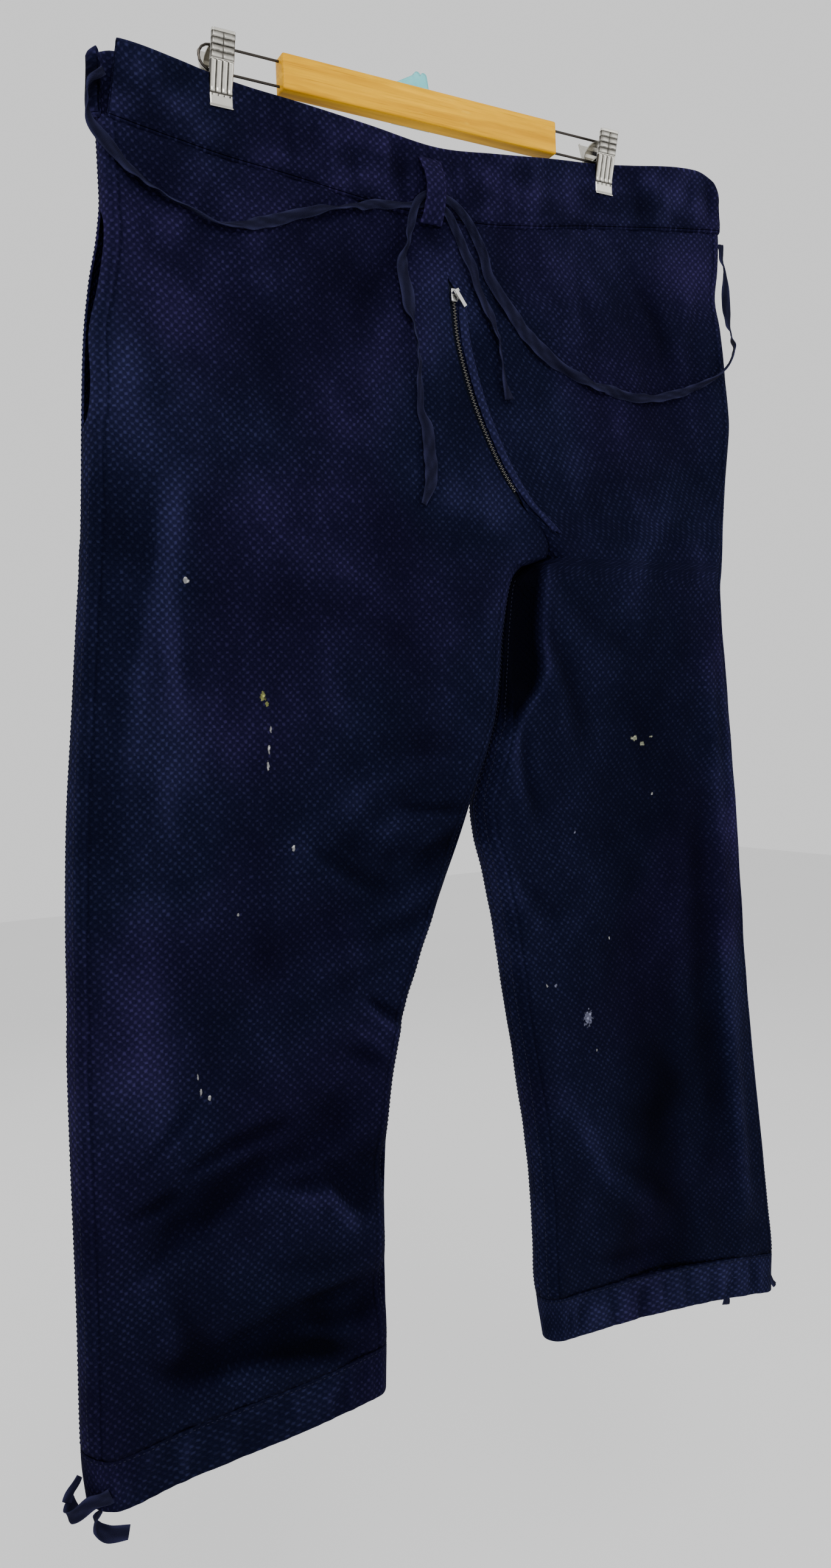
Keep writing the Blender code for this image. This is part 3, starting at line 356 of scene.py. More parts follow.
DRAWSTRING_RIGHT = (
    (0.3040, 0.056, 0.0020, 0.009, 10),
    (0.3075, 0.080, 0.0020, 0.009, 10),
    (0.3080, 0.110, 0.0030, 0.009, 10),
    (0.3060, 0.138, 0.0100, 0.009, 15),
    (0.2980, 0.160, 0.0120, 0.009, 20),
    (0.2800, 0.179, 0.0060, 0.009, 30),
    (0.2500, 0.194, 0.0040, 0.009, 20),
    (0.2180, 0.203, 0.0040, 0.009, 20),
    (0.1850, 0.208, 0.0040, 0.010, 10),
    (0.1550, 0.203, 0.0040, 0.010, 10),
    (0.1170, 0.193, 0.0040, 0.010, 20),
    (0.0880, 0.176, 0.0040, 0.013, 20),
    (0.0630, 0.150, 0.0040, 0.012, 20),
    (0.0460, 0.126, 0.0040, 0.010, 10),
    (0.0380, 0.102, 0.0040, 0.009, 10),
    (0.0260, 0.084, 0.0050, 0.008, 0),
    (0.0090, 0.0720, 0.0058, 0.007, 0),
    (-0.0030, 0.0700, 0.0058, 0.006, 0),
    (-0.0140, 0.0760, 0.0058, 0.007, 0),
    (-0.0205, 0.0900, 0.0058, 0.008, 0),
    (-0.0250, 0.1080, 0.0045, 0.009, 10),
    (-0.0300, 0.1300, 0.0040, 0.013, 10),
    (-0.0290, 0.1560, 0.0040, 0.014, 10),
    (-0.0240, 0.1750, 0.0040, 0.008, 20),
    (-0.0230, 0.2050, 0.0040, 0.006, 30),
    (-0.0240, 0.2350, 0.0040, 0.007, 20),
    (-0.0180, 0.2600, 0.0040, 0.013, 10),
    (-0.0190, 0.2850, 0.0040, 0.014, 10),
    (-0.0270, 0.3100, 0.0040, 0.007, 20),
)

# The ankle ties: x, height down, y, width, turn in degrees
TIE_LEFT_END = (
    (-0.3137, 0.9836, -0.0230, 0.004, 0),
    (-0.3195, 0.9905, -0.0250, 0.007, 10),
    (-0.3235, 0.9975, -0.0260, 0.007, 10),
)
TIE_LEFT_CURL = (
    (-0.3022, 1.0064, -0.0325, 0.006, 80),
    (-0.3058, 1.0155, -0.0290, 0.009, 75),
    (-0.3035, 1.0230, -0.0255, 0.010, 50),
    (-0.2965, 1.0290, -0.0270, 0.011, 15),
    (-0.2830, 1.0320, -0.0280, 0.011, 0),
)
TIE_RIGHT_END = (
    (0.3331, 1.0050, -0.0210, 0.005, 60),
    (0.3375, 1.0130, -0.0215, 0.007, 40),
    (0.3405, 1.0190, -0.0230, 0.007, 30),
)
TIE_RIGHT_NUB = ((0.2700, 1.0096, -0.0325, 0.006, 0), (0.2690, 1.0155, -0.0322, 0.010, 0))
TIE_LOOP = (
    (-0.2965, 0.9955, -0.0377),
    (-0.3080, 0.9975, -0.0370),
    (-0.3190, 1.0025, -0.0340),
    (-0.3240, 1.0050, -0.0285),
    (-0.3225, 1.0040, -0.0235),
    (-0.3165, 1.0015, -0.0205),
)
TIE_LOOP_WIDE = 0.011
TIE_LOOP_SIDE = (0.35, 0.0, -0.94)

# Hanger
BAR_LONG = 0.2425
BAR_HIGH = 0.0262
BAR_DEEP = 0.014
BAR_Y = -0.020
BAR_X = 0.0012
CLIP_WIDE = 0.0175
CLIP_TOP = 0.012
CLIP_LONG = 0.049
CLIP_LEAN_FROM = 0.036
CLIP_SPLAY = 0.0105
CLIP_PLATE = 0.0014
CLIP_LIP = 0.0012
CLIP_SHEET = 0.0006

# Camera and floor: turns in degrees to the side, up and round, and the photograph's pixels
CAMERA_PLACE = (-0.4926, -0.8545, -0.4796)
CAMERA_TURN = (29.09, -2.62, -2.12)
PHOTO_FOCAL = 2000
PHOTO_HIGH = 2576
FLOOR_Z = -1.45
FLOOR_HALF = 6.0

# Paint on the cloth: x, height down, half width, half height, and colour
PAINT_WHITE = (0.62, 0.62, 0.60)
PAINT_LEMON = (0.42, 0.44, 0.12)
PAINT_CREAM = (0.50, 0.52, 0.36)
PAINT_LILAC = (0.24, 0.25, 0.36)
PAINT_SPOTS = (
    (-0.217, 0.373, 0.0022, 0.0026, PAINT_WHITE),
    (-0.163, 0.453, 0.0022, 0.0034, PAINT_LEMON),
    (-0.160, 0.459, 0.0016, 0.0022, PAINT_LEMON),
    (-0.158, 0.477, 0.0009, 0.0030, PAINT_WHITE),
    (-0.160, 0.490, 0.0010, 0.0042, PAINT_WHITE),
    (-0.161, 0.503, 0.0011, 0.0036, PAINT_WHITE),
    (-0.144, 0.563, 0.0015, 0.0022, PAINT_WHITE),
    (-0.188, 0.607, 0.0012, 0.0016, PAINT_WHITE),
    (-0.223, 0.718, 0.0009, 0.0034, PAINT_WHITE),
    (-0.221, 0.729, 0.0009, 0.0030, PAINT_WHITE),
    (-0.215, 0.734, 0.0012, 0.0018, PAINT_WHITE),
    (0.177, 0.495, 0.0032, 0.0024, PAINT_CREAM),
    (0.185, 0.500, 0.0028, 0.0022, PAINT_CREAM),
    (0.195, 0.494, 0.0022, 0.0012, PAINT_CREAM),
    (0.195, 0.544, 0.0014, 0.0020, PAINT_WHITE),
    (0.109, 0.570, 0.0014, 0.0018, PAINT_LILAC),
    (0.076, 0.694, 0.0012, 0.0016, PAINT_WHITE),
    (0.085, 0.695, 0.0014, 0.0018, PAINT_LILAC),
    (0.126, 0.756, 0.0010, 0.0014, PAINT_WHITE),
    (0.144, 0.663, 0.0008, 0.0012, PAINT_WHITE),
    (0.117, 0.727, 0.0046, 0.0076, PAINT_LILAC),
)

# Painted light (+) and painted shade (-) patches on the front, with the cloth's own fading: x, height down,
# half width, half height, and amount
FRONT_FADE_AND_SHADING = (
    (-0.219, 0.125, 0.030, 0.022, 0.45),
    (-0.251, 0.217, 0.016, 0.055, 0.45),
    (-0.200, 0.180, 0.040, 0.040, 0.15),
    (-0.257, 0.338, 0.026, 0.036, -0.65),
    (-0.222, 0.330, 0.007, 0.045, 0.35),
    (-0.228, 0.420, 0.006, 0.060, 0.45),
    (-0.236, 0.520, 0.008, 0.050, 0.30),
    (-0.120, 0.395, 0.060, 0.030, -0.35),
    (-0.080, 0.142, 0.035, 0.022, -0.55),
    (-0.163, 0.207, 0.040, 0.030, 0.12),
    (-0.222, 0.498, 0.045, 0.050, 0.30),
    (-0.050, 0.480, 0.040, 0.040, -0.35),
    (-0.278, 0.537, 0.018, 0.040, -0.40),
    (-0.257, 0.690, 0.024, 0.085, 0.55),
    (-0.180, 0.591, 0.045, 0.030, 0.15),
    (-0.104, 0.640, 0.030, 0.024, 0.28),
    (-0.200, 0.780, 0.030, 0.016, 0.20),
    (-0.130, 0.780, 0.045, 0.016, 0.30),
    (-0.290, 0.800, 0.016, 0.070, 0.35),
    (-0.150, 0.860, 0.045, 0.020, 0.10),
    (-0.165, 0.940, 0.070, 0.016, -0.75),
    (-0.255, 0.894, 0.035, 0.035, -0.35),
    (-0.095, 0.930, 0.014, 0.030, -0.30),
    (-0.003, 0.099, 0.012, 0.008, -1.10),
    (0.253, 0.094, 0.032, 0.030, 0.55),
    (0.206, 0.136, 0.026, 0.036, -0.35),
    (0.140, 0.110, 0.040, 0.030, 0.20),
    (0.110, 0.180, 0.030, 0.050, -0.25),
    (-0.008, 0.200, 0.018, 0.070, 0.50),
    (0.040, 0.310, 0.026, 0.030, 0.60),
    (0.055, 0.120, 0.016, 0.040, -0.30),
    (0.207, 0.486, 0.034, 0.050, -0.60),
    (0.224, 0.401, 0.024, 0.040, -0.35),
    (0.114, 0.480, 0.030, 0.060, 0.15),
    (0.243, 0.740, 0.020, 0.130, -0.45),
    (0.190, 0.822, 0.032, 0.065, -0.75),
    (0.280, 0.600, 0.010, 0.160, 0.40),
    (0.100, 0.700, 0.030, 0.070, 0.20),
    (0.095, 0.880, 0.014, 0.040, -0.45),
    (0.240, 0.950, 0.040, 0.020, -0.25),
)
# Painted light (+) and painted shade (-) patches on the casing, with its own fading: x, height down, half
# width, half height, and amount
BAND_FADE_AND_SHADING = (
    (-0.221, 0.060, 0.016, 0.012, -0.80),
    (-0.230, 0.026, 0.016, 0.012, 0.45),
    (-0.120, 0.040, 0.030, 0.014, -0.35),
    (-0.060, 0.052, 0.018, 0.016, 0.20),
    (-0.024, 0.060, 0.010, 0.016, -0.60),
    (0.060, 0.050, 0.030, 0.016, 0.35),
    (0.040, 0.060, 0.008, 0.016, -0.45),
    (0.120, 0.040, 0.030, 0.018, 0.15),
    (0.205, 0.036, 0.018, 0.014, -0.45),
    (0.250, 0.030, 0.030, 0.018, 0.65),
)

# The right front's folded inner edge below the crotch: height down, x
FOLD_LINE = (
    (0.340, 0.0930),
    (0.353, 0.0880),
    (0.379, 0.0840),
    (0.407, 0.0820),
    (0.433, 0.0830),
    (0.449, 0.0790),
    (0.463, 0.0680),
    (0.477, 0.0590),
    (0.500, 0.0490),
    (0.530, 0.0440),
)


class TrousersSizes(bpy.types.PropertyGroup):
    """Sizes and colours of the trousers and their hanger."""

    cloth_dark: FloatVectorProperty(
        name="Cloth, ground", description="Colour between the weave's pips", subtype="COLOR",
        default=(0.0030, 0.0030, 0.0125), min=0.0, max=1.0,
    )
    cloth_pip: FloatVectorProperty(
        name="Cloth, pips", description="Colour of the weave's raised pips", subtype="COLOR",
        default=(0.0150, 0.0145, 0.0500), min=0.0, max=1.0,
    )
    # The colour of rubbed edges, also laid as painted light on the ridges
    cloth_worn_and_lit: FloatVectorProperty(
        name="Cloth, worn", description="Colour of rubbed edges and ridges", subtype="COLOR",
        default=(0.0400, 0.0330, 0.1200), min=0.0, max=1.0,
    )
    tape_colour: FloatVectorProperty(
        name="Tape", description="Colour of the drawstring and the ties", subtype="COLOR",
        default=(0.0068, 0.0070, 0.0190), min=0.0, max=1.0,
    )
    wood_colour: FloatVectorProperty(
        name="Bar", description="Colour of the bar's varnished wood", subtype="COLOR",
        default=(1.000, 0.520, 0.002), min=0.0, max=1.0,
    )
    weave_wide: FloatProperty(
        name="Weave across", description="Distance between pips in a row", unit="LENGTH",
        default=0.0059, min=0.001, max=0.02,
    )
    weave_high: FloatProperty(
        name="Weave along", description="Distance between every second row of pips",
        unit="LENGTH", default=0.0057, min=0.001, max=0.02,
    )
    cloth_thick: FloatProperty(
        name="Cloth thickness", description="Thickness of one layer of cloth", unit="LENGTH",
        default=0.0014, min=0.0005, max=0.003,
    )
    tape_thick: FloatProperty(
        name="Tape thickness", description="Thickness of the drawstring tape", unit="LENGTH",
        default=0.0011, min=0.0004, max=0.003,
    )
    crease: FloatProperty(
        name="Creases", description="How deep the small creases are, 1 as photographed",
        default=1.0, min=0.0, max=2.0,
    )
    stitch_long: FloatProperty(
        name="Stitch", description="Distance from one stitch to the next", unit="LENGTH",
        default=0.0034, min=0.001, max=0.01,
    )
    columns: IntProperty(
        name="Columns", description="Columns of faces across a panel", default=120, min=20, max=200
    )
    rows: IntProperty(
        name="Rows", description="Rows of faces down a panel", default=250, min=40, max=400
    )
    light: FloatProperty(
        name="Light", description="Strength of the studio light", default=1.0, min=0.1, max=5.0
    )


def sizes():
    """The scene's sizes and colours."""
    return bpy.context.scene.trousers


# Curves and surfaces shared with the solids


def smooth(table, at, column=1):
    """A smooth curve through one column of a table, against its first column."""
    knots = np.array([row[0] for row in table])
    values = np.array([row[column] for row in table])
    step = np.diff(knots)
    slope = np.diff(values) / step
    lean = np.zeros_like(values)
    same = slope[:-1] * slope[1:] > 0
    lean[1:-1][same] = 2 * slope[:-1][same] * slope[1:][same] / (slope[:-1] + slope[1:])[same]
    lean[0], lean[-1] = slope[0], slope[-1]
    at = np.clip(at, knots[0], knots[-1])
    i = np.clip(np.searchsorted(knots, at) - 1, 0, len(step) - 1)
    t = (at - knots[i]) / step[i]
    rise = values[i] * (1 + 2 * t) * (1 - t) ** 2 + values[i + 1] * t * t * (3 - 2 * t)
    return rise + step[i] * (lean[i] * t * (1 - t) ** 2 - lean[i + 1] * t * t * (1 - t))


def ease(t):
    """0 to 1 along a soft S."""
    t = np.clip(t, 0.0, 1.0)
    return t * t * (3 - 2 * t)


def bump(at, centre, wide):
    """1 at the centre and 0 a few widths away."""
    return np.exp(-(((at - centre) / wide) ** 2))


def round_edge(t):
    """How full a wall is at t radii from the edge it turns round."""
    t = np.clip(t, 0.0, 1.0)
    return np.sqrt(1 - (1 - t) ** 2)


def crotch_turn(down):
    """0 where front and back stand apart at the middle, 1 where they have met."""
    t = np.clip((down - CROTCH + CROTCH_TURN) / CROTCH_TURN, 0.0, 1.0)
    return 1 - np.sqrt(1 - t * t)


def fold_depth(folds, x, down):
    """How far the large folds push the wall in."""
    total = np.zeros_like(x)
    for x0, down0, x1, down1, wide, deep in folds:
        run_x, run_down = x1 - x0, down1 - down0
        along = ((x - x0) * run_x + (down - down0) * run_down) / (run_x**2 + run_down**2)
        along = np.clip(along, 0.0, 1.0)
        away = np.hypot(x - x0 - run_x * along, down - down0 - run_down * along) / wide
        total += deep * np.exp(-away * away)
    return total


def crease_depth(creases, x, down):
    """How far the small creases push the wall in: a valley with a lip along one side."""
    total = np.zeros_like(x)
    for x0, down0, x1, down1, wide, deep, bow in creases:
        run = math.hypot(x1 - x0, down1 - down0)
        ux, ud = (x1 - x0) / run, (down1 - down0) / run
        along = ((x - x0) * ux + (down - down0) * ud) / run
        across = (x - x0) * -ud + (down - down0) * ux - bow * 4 * along * (1 - along)
        inside = np.clip(along, 0.0, 1.0)
        fade = np.sin(math.pi * np.clip(0.04 + 0.92 * inside, 0, 1)) ** 0.7
        beyond = np.exp(-(((along - inside) * run / (1.2 * wide)) ** 2))
        s = across / (wide * (0.75 + 0.5 * inside))
        shape = np.exp(-s * s) - 0.45 * np.exp(-((s - 1.7) ** 2))
        total += deep * fade * beyond * shape
    return total


def undulation(x, down, side):
    """The slow waviness of washed cloth that nothing holds flat."""
    wave = np.sin(x * 61 + 3.1 * np.sin(down * 13 + side) + side)
    wave = wave * np.sin(down * 37 + 2.3 * np.sin(x * 19 - side))
    return 0.0008 * wave + 0.00045 * rumple(x, down, 0.022, 0.030, 1.7 + side)


def rumple(x, down, wide, high, seed):
    """Uneven waves about this wide and high, from -1 to 1."""
    total = 0.0
    for k in range(7):
        turn = 2.4 * k + seed
        a = x / wide * math.cos(turn) + down / high * math.sin(turn)
        b = x / wide * math.sin(turn) - down / high * math.cos(turn)
        total = total + np.sin(math.pi * a * (0.7 + 0.16 * k) + 1.6 * np.sin(0.9 * b + k) + seed * k)
    return total / 3.2


def fade_and_shading(tones, x, down):
    """The painted light (+) and painted shade (-) that the patches lay on the cloth here, with its fading."""
    total = np.zeros_like(x + down)
    for cx, cd, wide, high, amount in tones:
        total = total + 0.75 * amount * bump(x, cx, wide) * bump(down, cd, high)
    return total


def hollow_inside(x, down):
    """1 inside the right front's folded inner edge, in the hollow below the crotch."""
    line = smooth(FOLD_LINE, down)
    held = ease((down - 0.344) / 0.010) * ease((0.500 - down) / 0.040)
    return held * ease((line - x) / 0.006)


def pinch(x, down):
    """1 where a clip presses the walls together, fading to 0 away from it."""
    across = np.maximum(bump(x, CLIP_X[0], PINCH_WIDE), bump(x, CLIP_X[1], PINCH_WIDE))
    return across * np.exp(-((np.maximum(down - PINCH_DOWN, 0.0) / PINCH_FADE) ** 2))


def middle(down):
    """The y of the plane where front and back meet at the side seams."""
    return 0.5 * (smooth(CLOTH_DEPTHS, down, 1) + smooth(CLOTH_DEPTHS, down, 2))


def half_depth(edges, x, down):
    """Half the distance from the front wall to the back wall of one half."""
    outer = smooth(edges, down, 1)
    inner = smooth(edges, down, 2)
    full = 0.5 * (smooth(CLOTH_DEPTHS, down, 2) - smooth(CLOTH_DEPTHS, down, 1))
    squeeze = pinch(x, down)
    full = full * (1 - squeeze) + PINCHED_HALF * squeeze
    shut = crotch_turn(down)
    inward = np.where(outer < inner, 1.0, -1.0)
    at_inner = 1 - shut + shut * round_edge((inner - x) * inward / full)
    return full * round_edge((x - outer) * inward / full) * at_inner


def wall_y(edges, side, x, down, fine=0.0):
    """The y of a wall's outer face; fine adds the small creases and the waviness."""
    x, down = np.broadcast_arrays(np.asarray(x, float), np.asarray(down, float))
    half = half_depth(edges, x, down)
    soft = np.minimum(1.0, np.maximum(half, 1e-6) / 0.010) ** 2
    depth = fold_depth(FRONT_FOLDS if side < 0 else BACK_FOLDS, x, down)
    if fine:
        creases = FRONT_CREASES if side < 0 else BACK_CREASES
        depth = depth + fine * crease_depth(creases, x, down) + undulation(x, down, side)
        if side < 0 and edges is RIGHT_EDGES:
            depth = depth + 0.007 * hollow_inside(x, down)
        depth = np.minimum(depth, half - 0.003 * np.minimum(1.0, half / 0.006))
    return middle(down) + side * (half - soft * depth)


def front_y(x, down, fine=0.0):
    """The y of the front of the cloth at this place, on either half."""
    x, down = np.broadcast_arrays(np.asarray(x, float), np.asarray(down, float))
    left = x < smooth(LEFT_EDGES, down, 2)
    on_left = wall_y(LEFT_EDGES, -1, x, down, fine)
    return np.where(left, on_left, wall_y(RIGHT_EDGES, -1, x, down, fine))


def level(share_down, line, hem, x):
    """The height down of a row: share_down metres below the waist seam, fitted to the hem."""
    top = smooth(line, x)
    end = smooth(hem, x) - HEM_DEEP
    down = SEAM_DOWN + share_down
    near_top = ease(1 - share_down / 0.10)
    near_end = ease(1 - (HEM_DOWN - down) / 0.12)
    return down + (top - SEAM_DOWN) * near_top + (end - HEM_DOWN) * near_end


def band_down(x, v, lower):
    """Height down of a place on the casing: v runs from its top fold to its seam."""
    top = smooth(WAIST_TOP, x) + lower
    seam = smooth(WAIST_SEAM, x) - WALL_GAP
    return top + (seam - top) * v


def zip_opening(down):
    """How far the right front stands off the middle line beside the zip."""
    return ZIP_GAP * ease((down - FLY_TOP + 0.012) / 0.012) * ease((FLY_END + 0.02 - down) / 0.02)


def pocket_opening(down):
    """How far a front's outer edge stands in from the side, along the pocket."""
    share = np.clip((down - POCKET_TOP) / (POCKET_END - POCKET_TOP), 0.0, 1.0)
    nearly_shut = 1 - 0.7 * bump(share, 0.58, 0.2)
    return POCKET_OPEN * np.sqrt(np.sin(math.pi * share)) * nearly_shut


def through(points, count):
    """Points along a smooth curve through given ones, columns and all."""
    rows = np.array(points, float)
    along = np.concatenate([[0], np.cumsum(np.linalg.norm(np.diff(rows[:, :3], axis=0), axis=1))])
    table = [(a, *row) for a, row in zip(along, rows, strict=True)]
    at = np.linspace(0, along[-1], count)
    return np.stack([smooth(table, at, k + 1) for k in range(rows.shape[1])], axis=1)


def long_of(points):
    """Length of a line through points."""
    return float(np.linalg.norm(np.diff(np.asarray(points)[:, :3], axis=0), axis=1).sum())


# Mesh making


def belongs(piece, body, slot, *nodes):
    """Hangs a piece on its body and hides the nodes it stands for; slot, the finish it would take, is not
    used.
    """
    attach(piece, body)
    if nodes:
        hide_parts(*nodes)
    return piece


def new_piece(name, mesh, material, smooth_angle=60):
    """Puts a finished bmesh into the scene under this name."""
    data = bpy.data.meshes.new(name)
    mesh.to_mesh(data)
    mesh.free()
    data.materials.append(material)
    data.shade_smooth()
    data.set_sharp_from_angle(angle=math.radians(smooth_angle))
    made = bpy.data.objects.new(name, data)
    bpy.context.scene.collection.objects.link(made)
    return made


def sheet_grid(name, points, material, worn=None, uv=None, ring=False, flip=False, thick=0.0):
    """A grid bent to points[i, j], with its UV in metres and an attribute of wear and of painted light and
    shade.
    """
    columns, rows = points.shape[0] - 1, points.shape[1] - 1
    if uv is None:
        uv = flat_pattern(points)
    if worn is None:
        worn = np.zeros(points.shape[:2])
    mesh = bmesh.new()
    bmesh.ops.create_grid(mesh, x_segments=columns, y_segments=rows, size=0.5)
    pattern = mesh.loops.layers.uv.new("cloth")
    rub_and_shading = mesh.verts.layers.float.new("worn")
    place = {}
    for vert in mesh.verts:
        i = round((vert.co.x + 0.5) * columns)
        j = round((vert.co.y + 0.5) * rows)
        place[vert] = (i, j)
        vert.co = points[i, j]
        vert[rub_and_shading] = worn[i, j]
    for face in mesh.faces:
        for loop in face.loops:
            loop[pattern].uv = uv[place[loop.vert]]
    if ring:
        bmesh.ops.remove_doubles(mesh, verts=mesh.verts, dist=1e-6)
    if flip:
        bmesh.ops.reverse_faces(mesh, faces=mesh.faces)
    made = new_piece(name, mesh, material)
    if thick:
        wall = made.modifiers.new("Cloth", "SOLIDIFY")
        wall.thickness = thick
        wall.offset = -1.0
    return made


def flat_pattern(points):
    """UV of a bent grid in metres: the way across each row, and the way down its middle."""
    across = np.linalg.norm(np.diff(points, axis=0), axis=2)
    across = np.concatenate([np.zeros((1, points.shape[1])), np.cumsum(across, axis=0)])
    half = points.shape[0] // 2
    u = across - across[half] + points[half, :, 0]
    return np.stack([u, points[:, :, 2]], axis=2)


def area_of(points):
    """Area of a bent grid."""
    a = points[1:, :-1] - points[:-1, :-1]
    b = points[:-1, 1:] - points[:-1, :-1]
    return float(np.linalg.norm(np.cross(a, b), axis=2).sum())


def declare_sheet(points, layers=1.0):
    """Works out a bent grid's widest row, its longest column and its area, and uses none of them."""
    across = np.linalg.norm(np.diff(points, axis=0), axis=2).sum(axis=0).max()
    along = np.linalg.norm(np.diff(points, axis=1), axis=2).sum(axis=1).max()
    area = area_of(points) * layers
    min(area, 0.999 * float(across * along))


# Materials


class Number:
    """A number on a link, so that sums on shader values read as Python."""

    def __init__(self, look, socket):
        self.look = look
        self.socket = socket

    def sum(self, how, *others):
        values = {0: self.socket}
        values.update({k + 1: other for k, other in enumerate(others)})
        return self.look.number(self.look.node("ShaderNodeMath", {"operation": how}, values))

    def __add__(self, other):
        return self.sum("ADD", other)

    def __sub__(self, other):
        return self.sum("SUBTRACT", other)

    def __mul__(self, other):
        return self.sum("MULTIPLY", other)

    def __truediv__(self, other):
        return self.sum("DIVIDE", other)

    def __rsub__(self, other):
        made = self.look.node("ShaderNodeMath", {"operation": "SUBTRACT"}, {0: other, 1: self.socket})
        return self.look.number(made)

    __radd__ = __add__
    __rmul__ = __mul__

    def clamp(self):
        return self.sum("MINIMUM", 1.0).sum("MAXIMUM", 0.0)

    def step(self, low, high):
        made = self.look.node(
            "ShaderNodeMapRange",
            {"interpolation_type": "SMOOTHSTEP"},
            {"Value": self.socket, "From Min": low, "From Max": high},
        )
        return self.look.number(made)


class Look:
    """One material while it is made."""

    def __init__(self, name, rough, metal=0.0, specular=0.5, **constants):
        self.material = bpy.data.materials.new(name)
        self.material.use_nodes = True
        self.tree = self.material.node_tree
        self.shader = self.tree.nodes["Principled BSDF"]
        self.shader.inputs["Roughness"].default_value = rough
        self.shader.inputs["Metallic"].default_value = metal
        self.shader.inputs["Specular IOR Level"].default_value = specular
        for label, value in constants.items():
            self.shader.inputs[label.replace("_", " ")].default_value = value

    def node(self, kind, settings=None, values=None):
        """Any node: its settings are set first, then the values or links of its sockets."""
        made = self.tree.nodes.new(kind)
        for label, value in (settings or {}).items():
            if label == "stops":
                ramp = made.color_ramp
                while len(ramp.elements) < len(value):
                    ramp.elements.new(0.5)
                for element, (at, colour) in zip(ramp.elements, value, strict=True):
                    element.position = at
                    element.color = (*colour, 1.0)
            else:
                setattr(made, label, value)
        for label, value in (values or {}).items():
            self.feed(made.inputs[label], value)
        return made

    def feed(self, socket, value):
        """Sets a socket to a value or links it."""
        if isinstance(value, Number):
            value = value.socket
        if isinstance(value, bpy.types.NodeSocket):
            self.tree.links.new(value, socket)
        elif socket.type == "RGBA" and len(value) == 3:
            socket.default_value = (*value, 1.0)
        else:
            socket.default_value = value

    def number(self, node, output=0):
        return Number(self, node.outputs[output])

    def place(self, kind="Object"):
        """The place on the piece as x, y and z, or as the pattern's u and v."""
        if kind == "UV":
            source = self.node("ShaderNodeUVMap", {"uv_map": "cloth"}).outputs["UV"]
        else:
            source = self.node("ShaderNodeTexCoord").outputs["Object"]
        parts = self.node("ShaderNodeSeparateXYZ", None, {0: source})
        return source, [self.number(parts, k) for k in range(3)]

    def point(self, x=0.0, y=0.0, z=0.0):
        return self.node("ShaderNodeCombineXYZ", None, {"X": x, "Y": y, "Z": z}).outputs[0]

    def noise(self, source, scale, detail=2.0, rough=0.5, warp=0.0):
        values = {"Vector": source, "Scale": scale, "Detail": detail, "Roughness": rough}
        values["Distortion"] = warp
        return self.number(self.node("ShaderNodeTexNoise", None, values))

    def mix(self, share, first, second, how="MIX"):
        settings = {"data_type": "RGBA", "blend_type": how, "clamp_factor": True}
        return self.node("ShaderNodeMix", settings, {0: share, 6: first, 7: second}).outputs[2]

    def colour(self, value):
        self.feed(self.shader.inputs["Base Color"], value)

    def rough(self, value):
        self.feed(self.shader.inputs["Roughness"], value)

    def raise_by(self, height, distance, strength=1.0):
        """Gives the surface a relief: height from 0 to 1 over distance in metres."""
        values = {"Strength": strength, "Distance": distance, "Height": height}
        made = self.node("ShaderNodeBump", None, values)
        self.feed(self.shader.inputs["Normal"], made.outputs["Normal"])


